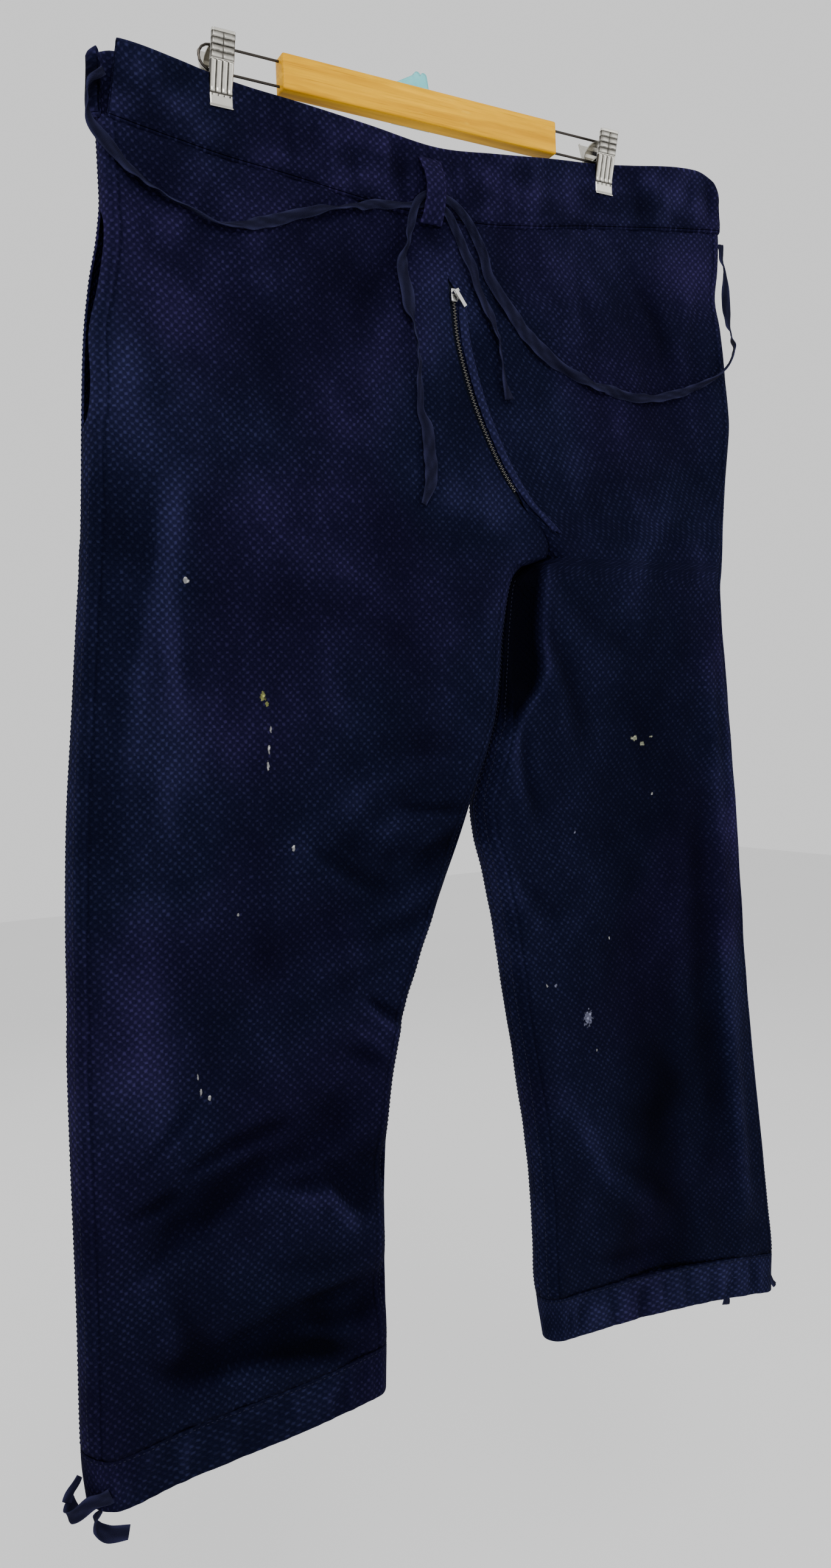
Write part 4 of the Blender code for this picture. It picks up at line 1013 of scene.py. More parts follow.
def rice_cloth():
    """Indigo cotton with a staggered rice-grain weave, rubbed pale on its edges, with painted light on its
    ridges and painted shade in its folds.
    """
    own = sizes()
    look = Look("rice_cloth", 0.93, specular=0.03)
    pattern, (u, v, _) = look.place("UV")
    where, (x, y, z) = look.place()
    u = u + (look.noise(pattern, 170.0, 2.0) - 0.5) * 0.0034
    v = v + (look.noise(where, 150.0, 2.0) - 0.5) * 0.0034
    a = u * (1 / own.weave_wide) + v * (1 / own.weave_high)
    b = u * (1 / own.weave_wide) - v * (1 / own.weave_high)
    round_a = (a * (2 * math.pi)).sum("COSINE")
    round_b = (b * (2 * math.pi)).sum("COSINE")
    lattice = (round_a + round_b) * 0.25 + 0.5
    pip = lattice.step(0.38, 0.95)
    cell = look.point(a.sum("ROUND"), b.sum("ROUND"), 0.0)
    grains = look.node("ShaderNodeTexWhiteNoise", {"noise_dimensions": "3D"}, {"Vector": cell})
    each = look.number(grains)
    fibre = look.noise(pattern, 2600.0, 2.0, 0.7)
    thread = look.noise(pattern, 900.0, 2.0, 0.6)
    cloudy = look.noise(where, 11.0, 3.0, 0.55, 0.4)
    broad = look.noise(where, 4.2, 2.0, 0.5)
    worn = look.number(look.node("ShaderNodeAttribute", {"attribute_name": "worn"}), 2)
    # Pips stand out more where the attribute carries wear and painted light
    strength = pip * (0.25 + 0.95 * each) * (0.45 + 0.6 * cloudy + 0.40 * worn)
    ground = look.mix(thread.step(0.25, 0.8), own.cloth_dark, [1.55 * c for c in own.cloth_dark])
    colour = look.mix(strength.clamp(), ground, own.cloth_pip)
    speck = look.noise(where, 330.0, 3.0, 0.7)
    # Paler on rubbed and faded cloth and where painted light lies on the ridges
    fade_and_light = (worn + (cloudy - 0.5) * 0.8 + (speck - 0.5) * 0.7).step(-0.05, 1.20)
    colour = look.mix((fade_and_light * (0.20 + 0.42 * pip)).clamp(), colour, own.cloth_worn_and_lit)
    tint = look.mix(broad.step(0.42, 0.60), (0.75, 1.15, 0.92), (1.20, 0.88, 1.08))
    colour = look.mix(0.45, colour, tint, "MULTIPLY")
    # Painted shade: the colour is darkened where the attribute is low, in folds, creases, seams and hollows
    depth = (0.84 + worn * 0.62 + (cloudy - 0.5) * 0.6).clamp()
    painted_shade_colour = look.mix(depth, (0.16, 0.17, 0.19), (1.0, 1.0, 1.0))
    colour = look.mix(1.0, colour, painted_shade_colour, "MULTIPLY")
    front = (-0.020 - y).step(0.0, 0.004)
    ragged = look.noise(where, 420.0, 2.0) - 0.5
    for spot_x, down, wide, high, paint in PAINT_SPOTS:
        across = (x - spot_x) / wide
        up = (z + down) / high
        near = (across * across + up * up).sum("SQRT") + ragged * 2.2
        mask = (0.95 - near).step(0.0, 0.4) * front
        colour = look.mix((mask * (0.30 + 0.60 * pip)).clamp(), colour, paint)
    look.colour(colour)
    look.rough(0.90 + 0.08 * fibre)
    height = pip * (0.6 + 0.4 * each) + 0.16 * thread + 0.10 * fibre
    look.raise_by(height, 0.0011, 0.85)
    return look.material


def tape_cloth():
    """Slate-navy cotton tape with a fine rib across it and paler edges, rubbed and with a painted highlight
    on the rolled edges.
    """
    own = sizes()
    look = Look("tape_cloth", 0.88, specular=0.04)
    pattern, (u, v, _) = look.place("UV")
    ribs = (v * (2 * math.pi / 0.0011)).sum("SINE") * 0.5 + 0.5
    cross = (u * (2 * math.pi / 0.0009) + v * (2 * math.pi / 0.0022)).sum("SINE") * 0.5 + 0.5
    blotch = look.noise(pattern, 90.0, 3.0, 0.6)
    fine = look.noise(pattern, 1500.0, 2.0, 0.6)
    worn = look.number(look.node("ShaderNodeAttribute", {"attribute_name": "worn"}), 2)
    base = look.mix(blotch, [0.55 * c for c in own.tape_colour], [1.5 * c for c in own.tape_colour])
    # Paler where the attribute carries rubbing, the painted highlight on the edges and painted light on the
    # crinkles
    share = (worn * 0.75 + (fine - 0.5) * 0.35).clamp()
    colour = look.mix(share, base, [3.6 * c for c in own.tape_colour])
    look.colour(colour)
    look.raise_by(ribs * 0.5 + cross * 0.5 + fine * 0.5, 0.0004, 0.7)
    return look.material


def plain(name, colour, rough, metal=0.0, specular=0.5, mottle=0.15, scale=300.0, relief=0.00005):
    """A finish of one colour with a faint mottle and a fine relief."""
    look = Look(name, rough, metal, specular)
    where, _ = look.place()
    fine = look.noise(where, scale, 3.0, 0.6)
    low = [c * (1 - mottle) for c in colour]
    high = [min(1.0, c * (1 + mottle)) for c in colour]
    look.colour(look.mix(fine, low, high))
    look.rough((rough - 0.06) + 0.12 * look.noise(where, scale * 0.3, 2.0))
    look.raise_by(fine, relief, 0.5)
    return look.material


def varnished_wood():
    """Honey-coloured wood with fine grain along the bar, under a satin varnish."""
    own = sizes()
    look = Look("varnished_wood", 0.34, specular=0.06, Coat_Weight=0.03, Coat_Roughness=0.2)
    _, (x, y, z) = look.place()
    along = look.point(x * 7.0, y * 120.0, z * 120.0)
    grain = look.noise(along, 1.0, 5.0, 0.62, 0.35)
    streak = look.noise(look.point(x * 22.0, y * 900.0, z * 900.0), 1.0, 3.0, 0.6)
    rings = ((z * 620.0 + grain * 9.0 + x * 3.0).sum("SINE") * 0.5 + 0.5)
    base = own.wood_colour
    colour = look.mix(grain.step(0.30, 0.72), [0.66 * base[0], 0.60 * base[1], 0.55 * base[2]], base)
    colour = look.mix(rings * 0.30, colour, (0.50, 0.190, 0.004))
    colour = look.mix(streak.step(0.56, 0.74) * 0.45, colour, (0.34, 0.120, 0.004))
    edge = look.noise(look.point(x * 60.0, y * 200.0, z * 200.0), 1.0, 2.0)
    colour = look.mix(edge.step(0.62, 0.80) * 0.3, colour, (0.95, 0.60, 0.05))
    look.colour(colour)
    look.rough(0.30 + 0.16 * grain)
    look.raise_by(grain * 0.6 + streak * 0.4, 0.00012, 0.5)
    return look.material


def pressed_steel():
    """Plated steel, with painted shade in the hollows of its pressing and painted reflection on its raised
    tops.
    """
    look = Look("pressed_steel", 0.28, 1.0)
    where, _ = look.place()
    fine = look.noise(where, 260.0, 3.0, 0.6)
    worn = look.number(look.node("ShaderNodeAttribute", {"attribute_name": "worn"}), 2)
    # Painted reflection on the raised tops and painted shade in the hollows, as the attribute gives them
    painted_light_share = (worn + (fine - 0.5) * 0.25).step(-0.15, 0.75)
    look.colour(look.mix(painted_light_share, (0.040, 0.036, 0.030), (0.66, 0.64, 0.58)))
    look.rough(0.24 + 0.20 * fine)
    return look.material


def clear_cyan():
    """Glossy pale cyan plastic, a little see-through."""
    look = Look("clear_cyan", 0.14, specular=0.5, Transmission_Weight=0.35, IOR=1.46)
    where, _ = look.place()
    haze = look.noise(where, 160.0, 2.0)
    look.colour(look.mix(haze, (0.12, 0.60, 0.67), (0.28, 0.80, 0.84)))
    return look.material


MATERIALS = {}


def material(name):
    """A material by name, made the first time it is asked for."""
    makers = {
        "rice_cloth": rice_cloth,
        "tape_cloth": tape_cloth,
        "varnished_wood": varnished_wood,
        "clear_cyan": clear_cyan,
        "pressed_steel": pressed_steel,
        "thread": lambda: plain("thread", (0.012, 0.013, 0.030), 0.85, 0.0, 0.1, 0.3, 900.0),
        "plated_steel": lambda: plain("plated_steel", (0.42, 0.40, 0.35), 0.26, 1.0, 0.5, 0.10, 200.0),
        "dark_wire": lambda: plain("dark_wire", (0.060, 0.052, 0.045), 0.34, 1.0, 0.5, 0.15, 400.0),
        "zip_metal": lambda: plain("zip_metal", (0.110, 0.106, 0.100), 0.34, 1.0, 0.5, 0.20, 500.0),
        "pull_metal": lambda: plain("pull_metal", (0.40, 0.40, 0.39), 0.26, 1.0, 0.5, 0.08, 300.0),
        "zip_ribbon": lambda: plain("zip_ribbon", (0.006, 0.008, 0.018), 0.9, 0.0, 0.1, 0.3, 1200.0),
    }
    if name not in MATERIALS:
        MATERIALS[name] = makers[name]()
    return MATERIALS[name]


# Cloth


def share_across(count):
    """Shares across a panel, close together at both edges."""
    u = np.linspace(0.0, 1.0, count + 1)
    return 0.85 * 0.5 * (1 - np.cos(math.pi * u)) + 0.15 * u


def panel_points(edges, hem, side):
    """The bent grid of one panel, and how rubbed it is."""
    own = sizes()
    hand = 1 if edges is RIGHT_EDGES else -1
    u = share_across(own.columns)[:, None]
    v = np.linspace(0.0, HEM_DOWN - SEAM_DOWN, own.rows + 1)[None, :]
    rough_down = SEAM_DOWN + v
    outer = smooth(edges, rough_down, 1)
    inner = smooth(edges, rough_down, 2)
    down = level(v, WAIST_SEAM, hem, outer + (inner - outer) * u)
    outer = smooth(edges, down, 1)
    inner = smooth(edges, down, 2) - hand * SEAM_LAP
    if side < 0:
        if hand > 0:
            inner = inner + zip_opening(down)
        outer = outer - hand * pocket_opening(down)
    x = outer + (inner - outer) * u
    y = wall_y(edges, side, x, down, own.crease)
    # the felled side seam and inseam stand a little proud, between two stitched grooves
    from_outer = np.abs(x - outer)
    from_inner = np.abs(x - inner)
    fell = 0.0006 * ease(1 - (from_outer - 0.009) / 0.0015) * ease((from_outer - 0.001) / 0.002)
    groove = 0.0005 * bump(from_outer, 0.0105, 0.0010)
    below = ease((down - CROTCH) / 0.02)
    fell = fell + below * 0.0006 * ease(1 - (from_inner - 0.010) / 0.0015)
    groove = groove + below * 0.0005 * bump(from_inner, 0.0115, 0.0010)
    end = HEM_DOWN - SEAM_DOWN
    seam_pull = 0.0009 * bump(v, 0.0, 0.003) + 0.0005 * bump(v, end, 0.003)
    pucker = 0.0008 * rumple(x, v, 0.011, 0.060, 3.0) * bump(v, 0.0, 0.016)
    pucker = pucker + 0.0006 * rumple(x, v, 0.010, 0.050, 5.0) * bump(v, end, 0.020)
    full = np.minimum(1.0, np.abs(y - middle(down)) / 0.006)
    y = y + side * (fell - groove - seam_pull + pucker) * full
    y = np.minimum(y, middle(down) - 0.0001) if side < 0 else np.maximum(y, middle(down) + 0.0001)
    folds = FRONT_FOLDS if side < 0 else BACK_FOLDS
    creases = FRONT_CREASES if side < 0 else BACK_CREASES
    # Painted shade in the hollows of the folds and creases, painted light on their ridges
    hollow = fold_depth(folds, x, down) / 0.006 + crease_depth(creases, x, down) / 0.0018
    worn = -0.42 * np.clip(hollow, -1.1, 1.8)
    # Paler along the side edge, rubbed and a painted highlight where the folded edge catches the light;
    # painted light on the fell's ridge and painted shade in its stitched groove
    worn = worn + 0.55 * bump(from_outer, 0.0, 0.004) + 0.25 * bump(from_outer, 0.0085, 0.0012)
    worn = worn - 0.4 * bump(from_outer, 0.0108, 0.0009)
    # Below the crotch the inseam gets the same: painted shade in its stitched groove, rubbing and a painted
    # highlight along its edge, painted light on its fell
    worn = worn - 0.4 * below * bump(from_inner, 0.0117, 0.0009)
    inseam_rub_and_light = 0.40 * bump(from_inner, 0.0, 0.004) + 0.25 * bump(from_inner, 0.0095, 0.0012)
    worn = worn + below * inseam_rub_and_light
    # Painted shade along the waist seam and the hem seam
    worn = worn - 0.2 * bump(v, 0.0, 0.0012) - 0.25 * bump(v, end, 0.0016)
    # Lighter near the waist and darker towards the hems
    worn = worn + 0.20 * bump(down, 0.10, 0.12) - 0.14 * ease((down - 0.45) / 0.35)
    worn = worn + 0.16 * rumple(x, down, 0.060, 0.085, 2.0 + side)
    worn = worn + 0.10 * rumple(x, down, 0.024, 0.030, 4.0)
    if side < 0:
        # Patches of painted light and painted shade, with the cloth's fading
        worn = worn + fade_and_shading(FRONT_FADE_AND_SHADING, x, down)
        if hand > 0:
            # Painted shade in the hollow inside the right front's folded inner edge, and a painted highlight
            # along that edge
            lip = bump(x, smooth(FOLD_LINE, down) + 0.0025, 0.0030) * bump(down, 0.42, 0.07)
            worn = worn - 1.6 * hollow_inside(x, down) + 0.5 * lip
    points = np.stack(np.broadcast_arrays(x, y, -down), axis=2)
    return points, np.broadcast_to(worn, points.shape[:2])


def lay_on(points, u, v):
    """Places on a bent grid at shares u and v of its columns and rows, with the outward side."""
    i = np.clip(u, 0, 1) * (points.shape[0] - 1)
    j = np.clip(v, 0, 1) * (points.shape[1] - 1)
    i0 = np.minimum(i.astype(int), points.shape[0] - 2)
    j0 = np.minimum(j.astype(int), points.shape[1] - 2)
    s, t = (i - i0)[:, None], (j - j0)[:, None]
    a, b = points[i0, j0], points[i0 + 1, j0]
    c, d = points[i0, j0 + 1], points[i0 + 1, j0 + 1]
    place = a * (1 - s) * (1 - t) + b * s * (1 - t) + c * (1 - s) * t + d * s * t
    normal = np.cross(b - a, c - a)
    return place, normal / np.linalg.norm(normal, axis=1)[:, None]


def stitches(mesh, places, normals, outward, wide=0.00042, share=0.62, sink=0.0):
    """Adds short threads one after another along a line of places."""
    pitch = sizes().stitch_long
    along = np.concatenate([[0], np.cumsum(np.linalg.norm(np.diff(places, axis=0), axis=1))])
    count = int(along[-1] / pitch)
    for k in range(count):
        ends = []
        for at in ((k + 0.5 - share / 2) * pitch, (k + 0.5 + share / 2) * pitch):
            ends.append(Vector([np.interp(at, along, places[:, c]) for c in range(3)]))
        at = (k + 0.5) * pitch
        up = Vector([np.interp(at, along, normals[:, c]) for c in range(3)]).normalized() * outward
        run = ends[1] - ends[0]
        side = run.cross(up).normalized()
        turn = Matrix((run / 2, side * wide, up * wide * 0.8)).transposed().to_4x4()
        turn.translation = (ends[0] + ends[1]) / 2 + up * (wide * 0.35 - sink)
        bmesh.ops.create_icosphere(mesh, subdivisions=1, radius=1.0, matrix=turn)


PANELS = {}


def make_panels():
    """Four panels from the waist seam to the hem casings."""
    own = sizes()
    for name, edges, hem, side in (
        ("front_left", LEFT_EDGES, LEFT_HEM, -1),
        ("front_right", RIGHT_EDGES, RIGHT_HEM, -1),
        ("back_left", LEFT_EDGES, LEFT_HEM, 1),
        ("back_right", RIGHT_EDGES, RIGHT_HEM, 1),
    ):
        points, worn = panel_points(edges, hem, side)
        hand = 1 if edges is RIGHT_EDGES else -1
        PANELS[name] = points
        piece = sheet_grid(
            f"{name}_cloth", points, material("rice_cloth"), worn,
            flip=side * hand > 0, thick=own.cloth_thick,
        )
        belongs(piece, BODY, "cloth", name)
        if name != "front_right":
            declare_sheet(points)


def band_section():
    """Steps round the casing's section: side of the middle (-1 out, 1 in) and share down."""
    face = np.linspace(1.0, 0.0, 12)
    steps = [(-1.0, v, 0.0) for v in face]
    steps += [(math.cos(math.pi - a), 0.0, math.sin(a)) for a in TURN_STEPS]
    steps += [(1.0, v, 0.0) for v in face[::-1]]
    steps += [(math.cos(a), 1.0, -0.6 * math.sin(a)) for a in TURN_STEPS]
    steps.append(steps[0])
    return steps


def band_pucker(x, v):
    """The casing's gathers: uneven soft ridges that run across it, flat under the clips."""
    soft = 0.0012 * rumple(x, np.full_like(x, v * 0.045), 0.020, 0.034, 1.0)
    fine = 0.0007 * rumple(x, np.full_like(x, v * 0.045), 0.0075, 0.040, 6.0)
    deep = np.zeros_like(x)
    for at, wide, amount in (
        (-0.232, 0.006, 0.0014), (-0.140, 0.007, 0.0018), (-0.120, 0.009, 0.0010),
        (-0.028, 0.006, 0.0022), (0.022, 0.005, 0.0018), (0.036, 0.005, 0.0012),
        (0.205, 0.009, 0.0020), (0.268, 0.008, 0.0012), (0.287, 0.005, 0.0012),
    ):
        deep += amount * bump(x, at + 0.008 * (v - 0.5), wide)
    return (soft + fine - deep) * (1 - 0.8 * pinch(x, 0.02))


def band_tube(name, x_at, y_at, down_at, columns, flip, nodes):
    """A casing: a flat tube of cloth, open at its ends."""
    steps = band_section()
    half = CASING / 2
    u = np.linspace(0.0, 1.0, columns + 1)
    points = np.zeros((columns + 1, len(steps), 3))
    worn = np.zeros((columns + 1, len(steps)))
    pattern = np.zeros((columns + 1, len(steps), 2))
    for k, (side, v, over) in enumerate(steps):
        x = x_at(u, v)
        down = down_at(x, v)
        y, outward_y, outward_x = y_at(x, down, u, v)
        belly = band_pucker(x, v) * math.sin(math.pi * v) ** 0.6
        off = half * (1 + side) - belly * (1.0 if side < 0 else 0.4)
        points[:, k, 0] = x - outward_x * off
        points[:, k, 1] = y - outward_y * off
        points[:, k, 2] = -down + over * half
        # Paler over the top fold with rubbing and painted light; painted light on the gathers' ridges and
        # painted shade in their hollows
        worn[:, k] = 0.45 * abs(over) * (1 if v < 0.5 else 0) + belly * 170 + 0.15
        worn[:, k] += fade_and_shading(BAND_FADE_AND_SHADING, x, down) + 0.25 * rumple(x, down, 0.028, 0.020, 8.0)
        pattern[:, k, 0] = x
        pattern[:, k, 1] = -down + (0.0 if side < 0 else 0.0017)
        if name == "waistband_back_cloth":
            # Lighter on the back's turned end, with painted shade inside its open mouth
            curled = ease((u - CURL_SHARE) / 0.02)
            mouth = math.sin(math.pi * v) ** 0.5
            worn[:, k] += curled * (0.7 - 1.9 * mouth * ease((u - CURL_SHARE - 0.02) / 0.02))
    piece = sheet_grid(
        name, points, material("rice_cloth"), worn, uv=pattern, flip=flip, thick=0.0013
    )
    belongs(piece, BODY, "cloth", *nodes)
    return piece, points


def make_waistband():
    """The casing's two front halves and its back, which turns round the open left end."""
    PANELS["bands"] = {}
    for name, x0, x1 in (
        ("waistband_front_left", SLIT_X, MIDDLE_X - WALL_GAP / 2),
        ("waistband_front_right", MIDDLE_X + WALL_GAP / 2, RIGHT_EDGES[0][1]),
    ):
        def x_at(u, v, x0=x0, x1=x1):
            u = 1 - (1 - u) ** 1.6 if x1 > 0.2 else u
            x = x0 + (x1 - x0) * u
            if x0 < -0.2:
                x = x - SLIT_SLANT * v * (1 - u) ** 6
            return x

        def down_at(x, v):
            return band_down(x, v, 0.0)

        def y_at(x, down, u, v):
            edges = RIGHT_EDGES if x[-1] > 0 else OPEN_EDGES
            y = np.minimum(wall_y(edges, -1, x, down), middle(down) - 0.0001)
            outward_x = bump(x, 0.301, 0.006) if x[-1] > 0.2 else 0.0 * x
            return y, -np.sqrt(1 - 0.9 * outward_x**2), 0.95 * outward_x

        piece, points = band_tube(f"{name}_cloth", x_at, y_at, down_at, 150, True, [name])
        PANELS["bands"][name] = points
        declare_sheet(points)

    right, turn_x = RIGHT_EDGES[0][1], CURL_X

    def back_x(u, v):
        flat_u = np.minimum(u / CURL_SHARE, 1.0)
        x = right + (turn_x - right) * flat_u ** 1.15
        angle = np.clip((u - CURL_SHARE) / (1 - CURL_SHARE), 0, 1) * CURL_ANGLE
        start = band_down(turn_x, v, BACK_LOWER)
        radius = (wall_y(OPEN_EDGES, 1, turn_x, start) - wall_y(OPEN_EDGES, -1, turn_x, start)) / 2
        return np.where(u > CURL_SHARE, turn_x - (radius + CURL_OUT) * np.sin(angle), x)

    def back_down(x, v):
        return band_down(x, v, BACK_LOWER)

    def back_y(x, down, u, v):
        angle = np.clip((u - CURL_SHARE) / (1 - CURL_SHARE), 0, 1) * CURL_ANGLE
        start = band_down(turn_x, v, BACK_LOWER)
        radius = (wall_y(OPEN_EDGES, 1, turn_x, start) - wall_y(OPEN_EDGES, -1, turn_x, start)) / 2
        edges_y = np.where(x > 0, wall_y(RIGHT_EDGES, 1, x, down), wall_y(OPEN_EDGES, 1, x, down))
        flat = np.maximum(edges_y, middle(down) + 0.0001)
        y = np.where(u > CURL_SHARE, middle(start) + radius * np.cos(angle), flat)
        near_end = bump(x, 0.301, 0.006)
        outward_y = np.where(u > CURL_SHARE, np.cos(angle), np.sqrt(1 - 0.9 * near_end**2))
        outward_x = np.where(u > CURL_SHARE, -np.sin(angle), 0.95 * near_end)
        return y, outward_y, outward_x

    piece, points = band_tube(
        "waistband_back_cloth", back_x, back_y, back_down, 220, True, ["waistband_back"]
    )
    PANELS["bands"]["waistband_back"] = points
    declare_sheet(points)


def make_hems():
    """The turned-up casings round the ankles, with gathers where the ties run."""
    for name, edges, line in (("hem_left", LEFT_EDGES, LEFT_HEM), ("hem_right", RIGHT_EDGES, RIGHT_HEM)):
        columns = 300
        u = np.linspace(0.0, 1.0, columns + 1)
        angle = 2 * math.pi * u
        share = 0.5 - 0.5 * np.cos(angle)
        side = np.where(u < 0.5, -1.0, 1.0)
        face = np.linspace(0.0, 1.0, 9)
        steps = [(0.0, v, 0.0) for v in face]
        steps += [(0.5 - 0.5 * math.cos(a), 1.0, -math.sin(a)) for a in TURN_STEPS]
        steps += [(1.0, v, 0.0) for v in face[::-1]]
        steps.append((0.0, 0.0, 0.0))
        points = np.zeros((columns + 1, len(steps), 3))
        worn = np.zeros((columns + 1, len(steps)))
        rough = float(smooth(line, 0.0))
        outer = float(smooth(edges, rough, 1))
        inner = float(smooth(edges, rough, 2))
        for k, (inside, v, below) in enumerate(steps):
            x = outer + (inner - outer) * share
            down = smooth(line, x) - (HEM_DEEP - WALL_GAP) * (1 - v)
            out_x = smooth(edges, down, 1)
            in_x = smooth(edges, down, 2)
            x = out_x + (in_x - out_x) * share
            half = half_depth(edges, x, down)
            gather = 0.0010 * rumple(x, down + 0.05 * side, 0.016, 0.040, 2.5)
            gather = gather + 0.0006 * rumple(x, down + 0.05 * side, 0.007, 0.030, 7.0)
            gather = gather * math.sin(math.pi * min(1.0, 0.08 + 0.8 * v)) ** 0.7
            full = np.minimum(1.0, half / 0.008)
            # the wall's own thickness, taken in along x where it turns round the edges
            turned = np.sqrt(np.clip(1 - full**2, 0, 1)) * np.sign(0.5 * (out_x + in_x) - x)
            wall = HEM_WALL * inside
            points[:, k, 0] = x + turned * wall
            points[:, k, 1] = middle(down) + side * (half + gather * full - wall * full)
            points[:, k, 2] = -down + 0.0012 * below
            pale = 0.35 if edges is RIGHT_EDGES else 0.0
            # Painted light on the gathers' ridges and painted shade in their hollows, paler round the folded
            # bottom edge, painted shade along the casing's seam; the right hem is paler cloth
            worn[:, k] = pale + gather * 240 + 0.5 * abs(below) - 0.35 * bump(v, 0.0, 0.04)
        uv = np.stack(np.broadcast_arrays(u[:, None] * 2 * abs(inner - outer), points[:, :, 2]), axis=2)
        flip = edges is LEFT_EDGES
        piece = sheet_grid(f"{name}_cloth", points, material("rice_cloth"), worn, uv, ring=True, flip=flip)
        belongs(piece, BODY, "cloth", name)
        PANELS[name] = points[:, :9]
        ties = [made for made in bpy.data.objects if made.name.startswith(name.replace("hem", "hem_tie"))]
        ties = [made for made in ties if made.name.endswith("_tape")]
        declare_sheet(points[:, :9])


def make_belt_loop():
    """The bowed loop over the middle of the casing."""
    u = np.linspace(-0.5, 0.5, 13)[:, None]
    v = np.linspace(0.0, 1.0, 61)[None, :]
    narrow = 1 - 0.10 * np.sin(math.pi * v)
    x = LOOP_X + u * LOOP_WIDE * narrow + 0.0012 * np.sin(math.pi * v)
    down = LOOP_TOP + LOOP_LONG * v
    off = WALL_GAP + LOOP_THICK + LOOP_BOW * np.sin(math.pi * v) ** 0.8
    rolled = 0.0007 * (2 * np.abs(u)) ** 4 + 0.0003 * np.sin(v * 30 + u * 6)
    y = front_y(LOOP_X, down) - LOOP_EASE - off + rolled + 0.0 * x
    points = np.stack(np.broadcast_arrays(x, y, -down), axis=2)
    worn = 0.35 + 0.5 * (2 * np.abs(u)) ** 6 + 0.0 * v
    piece = sheet_grid("belt_loop_cloth", points, material("rice_cloth"), worn, flip=True, thick=0.0016)
    belongs(piece, BODY, "cloth", "belt_loop")
    declare_sheet(points)


def strip(name, start, end, left, wide, off, cloth, rows, columns, roll=0.0, thick=0.001, worn=0.0):
    """A strip along the zip, its outer face off metres in front of the cloth."""
    u = np.linspace(0.0, 1.0, columns + 1)[:, None]
    down = np.linspace(start, end, rows + 1)[None, :]
    edge = smooth(RIGHT_EDGES, down, 2)
    x = edge + left + wide * u
    y = front_y(edge + left + wide * 0.5, down) - off - roll * np.sin(math.pi * u)
    points = np.stack(np.broadcast_arrays(x, y, -down), axis=2)
    rub_and_shading = np.broadcast_to(worn + 0.0 * u + 0.0 * down, points.shape[:2])
    return sheet_grid(name, points, material(cloth), rub_and_shading, flip=True, thick=thick), points


def make_fly():
    """The zip's tape, teeth, slider and pull, and the rolled edge beside it."""
    ribbon, points = strip(
        "zip_ribbon", 0.130, 0.302, ZIP_GAP / 2 - ZIP_TAPE_WIDE / 2, ZIP_TAPE_WIDE,
        -ZIP_TAPE_BEHIND, "zip_ribbon", 80, 12,
    )
    belongs(ribbon, BODY, "tape", "zip_tape")
    declare_sheet(points)
    welt, points = strip(
        "fly_welt_cloth", WELT_TOP, WELT_END, ZIP_GAP + WALL_GAP, WELT_WIDE,
        WALL_GAP + WELT_THICK - 0.0012, "rice_cloth", 90, 16, 0.0026, 0.0018, 0.75,
    )
    belongs(welt, BODY, "cloth", "fly_welt")
    declare_sheet(
        PANELS["front_right"],
    )
    mesh = bmesh.new()
    down = FLY_TOP + 0.010
    k = 0
    while down < FLY_END - 0.001:
        slope = float(smooth(RIGHT_EDGES, down + 0.001, 2) - smooth(RIGHT_EDGES, down - 0.001, 2)) / 0.002
        lean = math.atan(slope)
        x = float(smooth(RIGHT_EDGES, down, 2)) + ZIP_GAP / 2
        y = float(front_y(x, down)) - 0.0009
        hand = 1 if k % 2 else -1
        turn = Matrix.Rotation(-lean, 4, "Y")
        turn = Matrix.Translation((x, y, -down)) @ turn @ Matrix.Translation((hand * 0.0005, 0, 0))
        made = bmesh.ops.create_cube(mesh, size=1.0, matrix=turn @ Matrix.Diagonal((*TOOTH, 1)))
        edges = {edge for vert in made["verts"] for edge in vert.link_edges}
        bmesh.ops.bevel(
            mesh, geom=list(edges), offset=0.0002, segments=1, profile=0.5, affect="EDGES", material=-1
        )
        down += TEETH_PITCH / 2 / math.sqrt(1 + slope * slope)
        k += 1
    teeth = new_piece("zip_teeth_row", mesh, material("zip_metal"), 40)
    belongs(teeth, BODY, "zip_metal", "zip_teeth")
    for node, finish in (("zip_slider", "pull_metal"), ("zip_pull", "pull_metal")):
        repaint(node, finish)


def repaint(node, finish):
    """Gives a kept node its finish."""
    kept = frame["nodes"][node]
    if isinstance(kept, str):
        kept = bpy.data.objects[kept]
    kept.data.materials.clear()
    kept.data.materials.append(material(finish))


def make_pockets():
    """The facings that show inside the side pockets."""
    for name, edges in (("pocket_facing_left", LEFT_EDGES), ("pocket_facing_right", RIGHT_EDGES)):
        hand = 1 if edges is RIGHT_EDGES else -1
        u = (np.linspace(0.0, 1.0, 25) ** 1.7)[:, None]
        down = (POCKET_TOP - 0.004 + (POCKET_END - POCKET_TOP + 0.008) * np.linspace(0, 1, 61))[None, :]
        outer = smooth(edges, down, 1)
        full = middle(down) - smooth(CLOTH_DEPTHS, down, 1) - FACING_IN
        into = FACING_START + POCKET_FACING_WIDE * u
        x = outer - hand * (FACING_IN + into)
        y = middle(down) - full * round_edge(into / full) + fold_depth(FRONT_FOLDS, x, down + 0 * x)
        y = np.minimum(y, middle(down) - 0.0015)
        points = np.stack(np.broadcast_arrays(x, y, -down), axis=2)
        # Painted shade over the facings inside the pockets
        worn = np.full(points.shape[:2], -0.4)
        piece = sheet_grid(f"{name}_cloth", points, material("rice_cloth"), worn, flip=hand < 0, thick=0.0012)
        belongs(piece, BODY, "cloth", name)
        declare_sheet(points)


